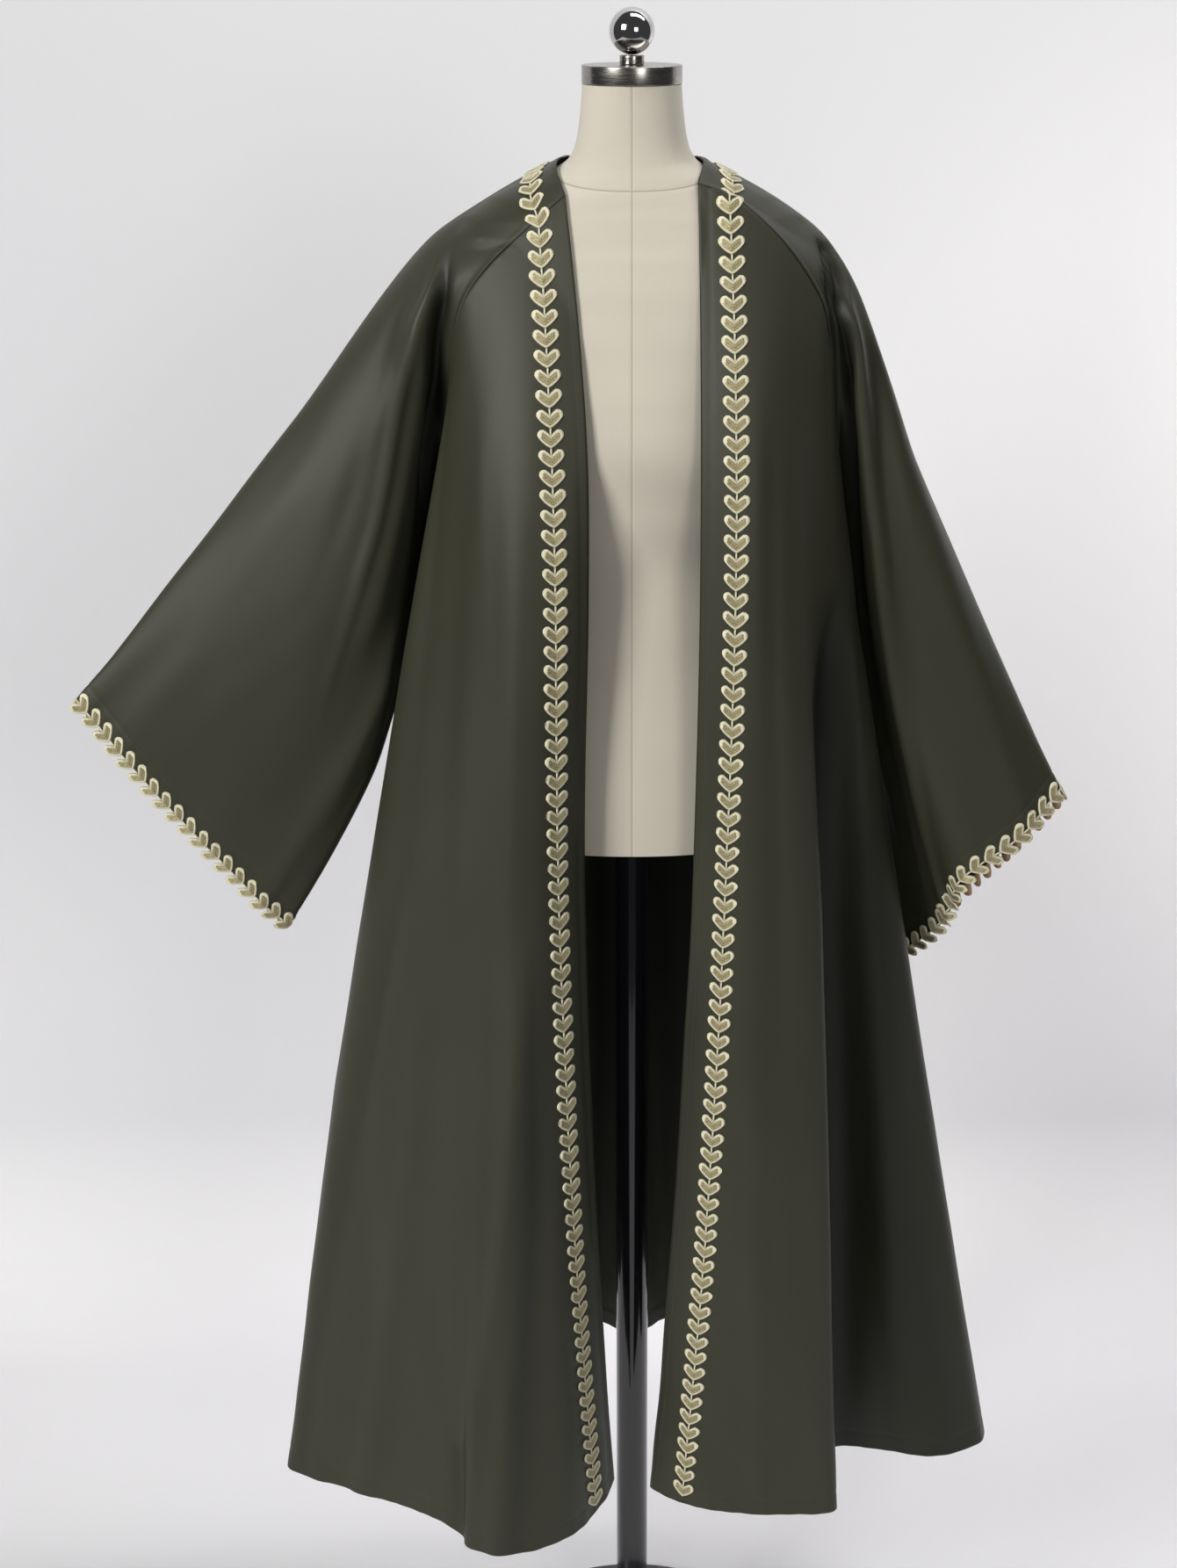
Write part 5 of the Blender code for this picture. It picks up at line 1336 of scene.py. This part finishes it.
# ---- what each piece stands for, and the cut of the cloth
cutPieces = {   # the solid it replaces, its flat width and length as far as they show, and its area
    "frontRightCloth": ("front_right", (0.66, 1.58), 0.65),
    "backCloth": ("back", (1.24, 1.62), 1.17),
    "frontLeftCloth": ("front_left", (0.68, 1.58), 0.63),
    "sleeveRightCloth": ("sleeve_right", (0.78, 0.98), 0.42),
    "sleeveLeftCloth": ("sleeve_left", (0.70, 0.94), 0.35),
}
trims = {   # the trim that lies on each cloth, and the solid it replaces
    "frontRightCloth": (frontTrims["right"], "trim_right"),
    "frontLeftCloth": (frontTrims["left"], "trim_left"),
    "sleeveRightCloth": (cuffTrims["right"], "trim_cuff_right"),
    "sleeveLeftCloth": (cuffTrims["left"], "trim_cuff_left"),
}

for name, panel in madePanels.items():
    piece, run = panel["piece"], stitchRuns[name]
    node, flat, area = cutPieces[name]
    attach(piece, "root")
    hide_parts(node)
    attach(run, "root")
    print(name, "outer face", round(panel["area"], 3), "m2, width", round(panel["width"], 3), "length",
          round(panel["length"], 3))
for trim, node in trims.values():
    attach(trim, "root")
    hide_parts(node)
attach(dressForm, "root")
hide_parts("form_torso")
for node, piece in standPieces.items():
    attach(piece, "root")
    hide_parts(node)


# ---- room, light and camera
room = {
    "halfWidth": 3.4, "front": -2.8, "turn": 0.70, "turnRadius": 0.30, "top": 5.0,
    "below": 0.0002,     # the floor's gap to the base
    "pale": (0.77, 0.77, 0.79, 1), "shade": (0.72, 0.72, 0.76, 1),
    "frontShade": (-2.4, -0.7, 0.55, 1.0),     # the floor falls into shade in front of the object
    "sideShade": (-1.3, 0.4, 0.9, 1.0),        # and the paper a little on the key light's side
}


def makeRoom():
    turnEnd = room["turn"] + room["turnRadius"]
    outline = [(room["front"], 0.0), (-1.0, 0.0), (0.2, 0.0)]
    for k in range(17):
        angle = math.pi / 2 * k / 16
        outline.append((room["turn"] + room["turnRadius"] * math.sin(angle),
                        room["turnRadius"] * (1 - math.cos(angle))))
    outline.append((turnEnd, room["top"]))
    verts = [(x, y, z - room["below"]) for y, z in outline for x in (-room["halfWidth"], room["halfWidth"])]
    faces = [(2 * k, 2 * k + 1, 2 * k + 3, 2 * k + 2) for k in range(len(outline) - 1)]
    mesh = bpy.data.meshes.new("paleRoom")
    mesh.from_pydata(verts, [], faces)
    smoothFaces(mesh)
    material, tree, shader = newMaterial("palePaper", room["pale"][:3])
    place = objectPlace(tree)
    mottle = placeGroup(tree, softMottle, Place=place, Light=room["pale"], Dark=room["shade"], Broad=0.5, Fine=90.0,
                        Fineness=0.08)
    x, y = splitVector(tree, place)[:2]
    lit = doMath(tree, "MULTIPLY", rescale(tree, y, *room["frontShade"]), rescale(tree, x, *room["sideShade"]))
    tree.links.new(mixColours(tree, 1.0, mottle.outputs["Colour"], lit, "MULTIPLY"), shader.inputs["Base Color"])
    setPlain(shader, Roughness=0.75)
    # seen from behind the paper lets everything through, so the object shows from all sides
    clear = tree.nodes.new("ShaderNodeBsdfTransparent")
    behind = tree.nodes.new("ShaderNodeNewGeometry").outputs["Backfacing"]
    mix = addNode(tree, "ShaderNodeMixShader", {0: behind, 1: shader.outputs[0], 2: clear.outputs[0]})
    tree.links.new(mix.outputs[0], tree.nodes["Material Output"].inputs["Surface"])
    mesh.materials.append(material)
    paper = addPiece("paleRoom", mesh)


lamps = {   # place, what it faces, size, power, colour, and how far it spreads
    "keyLight": ((-4.4, -4.6, 4.1), (0, 0, 1.1), (2.4, 2.6), 412.0, (1.0, 0.985, 0.95), 180),
    "fillLight": ((1.8, -4.6, 2.7), (0.1, 0, 1.45), (1.4, 1.6), 48.0, (1.0, 0.985, 0.95), 180),
    "paperLight": ((1.4, -0.1, 4.6), (1.3, 1.2, 0.5), (3.2, 0.7), 66.0, (1.0, 0.98, 0.96), 180),
    "cornerLight": ((2.3, 0.4, 1.7), (0.95, 1.0, 0.95), (0.3, 1.2), 8.0, (1.0, 0.97, 0.93), 70),  # off the cloak
}


def softLight(name, place, target, size, power, colour, spread):
    data = bpy.data.lights.new(name, "AREA")
    data.shape = "RECTANGLE"
    data.size, data.size_y = size
    data.energy, data.color, data.spread = power, colour, math.radians(spread)
    lamp = addPiece(name, data)
    lamp.location = place
    aim = np.array(target) - np.array(place)
    flat = math.hypot(aim[0], aim[1])
    lamp.rotation_euler = (math.atan2(flat, -aim[2]), 0, math.atan2(-aim[0], aim[1]))


def makeWorld(lightColour, light, seenColour):
    # the camera sees a pale room, the object is lit by a dim one
    world = bpy.data.worlds.new("paleWorld")
    world.use_nodes = True
    tree = world.node_tree
    dim = tree.nodes["Background"]
    dim.inputs["Color"].default_value = lightColour
    dim.inputs["Strength"].default_value = light
    pale = addNode(tree, "ShaderNodeBackground", {"Color": seenColour, "Strength": 1.0})
    seen = addNode(tree, "ShaderNodeLightPath").outputs["Is Camera Ray"]
    either = addNode(tree, "ShaderNodeMixShader", {0: seen, 1: dim.outputs[0], 2: pale.outputs[0]})
    tree.links.new(either.outputs[0], tree.nodes["World Output"].inputs["Surface"])
    return world


photoView = {"lens": 55.77, "sensor": 36.0, "shift": -0.0277, "place": (0.0, -2.624, 2.1675), "tilt": 70.5}


def makeCamera():
    lens = bpy.data.cameras.new("photoLens")
    lens.lens, lens.sensor_width, lens.shift_x = photoView["lens"], photoView["sensor"], photoView["shift"]
    camera = addPiece("photoCamera", lens)
    camera.location = photoView["place"]
    camera.rotation_euler = (math.radians(photoView["tilt"]), 0, 0)
    return camera


makeRoom()
for name, lamp in lamps.items():
    softLight(name, *lamp)
studio.world = makeWorld((0.92, 0.93, 0.96, 1), 0.07, (0.74, 0.74, 0.76, 1))
studio.view_settings.view_transform = "Standard"
studio.camera = makeCamera()
print("room, light and camera set")
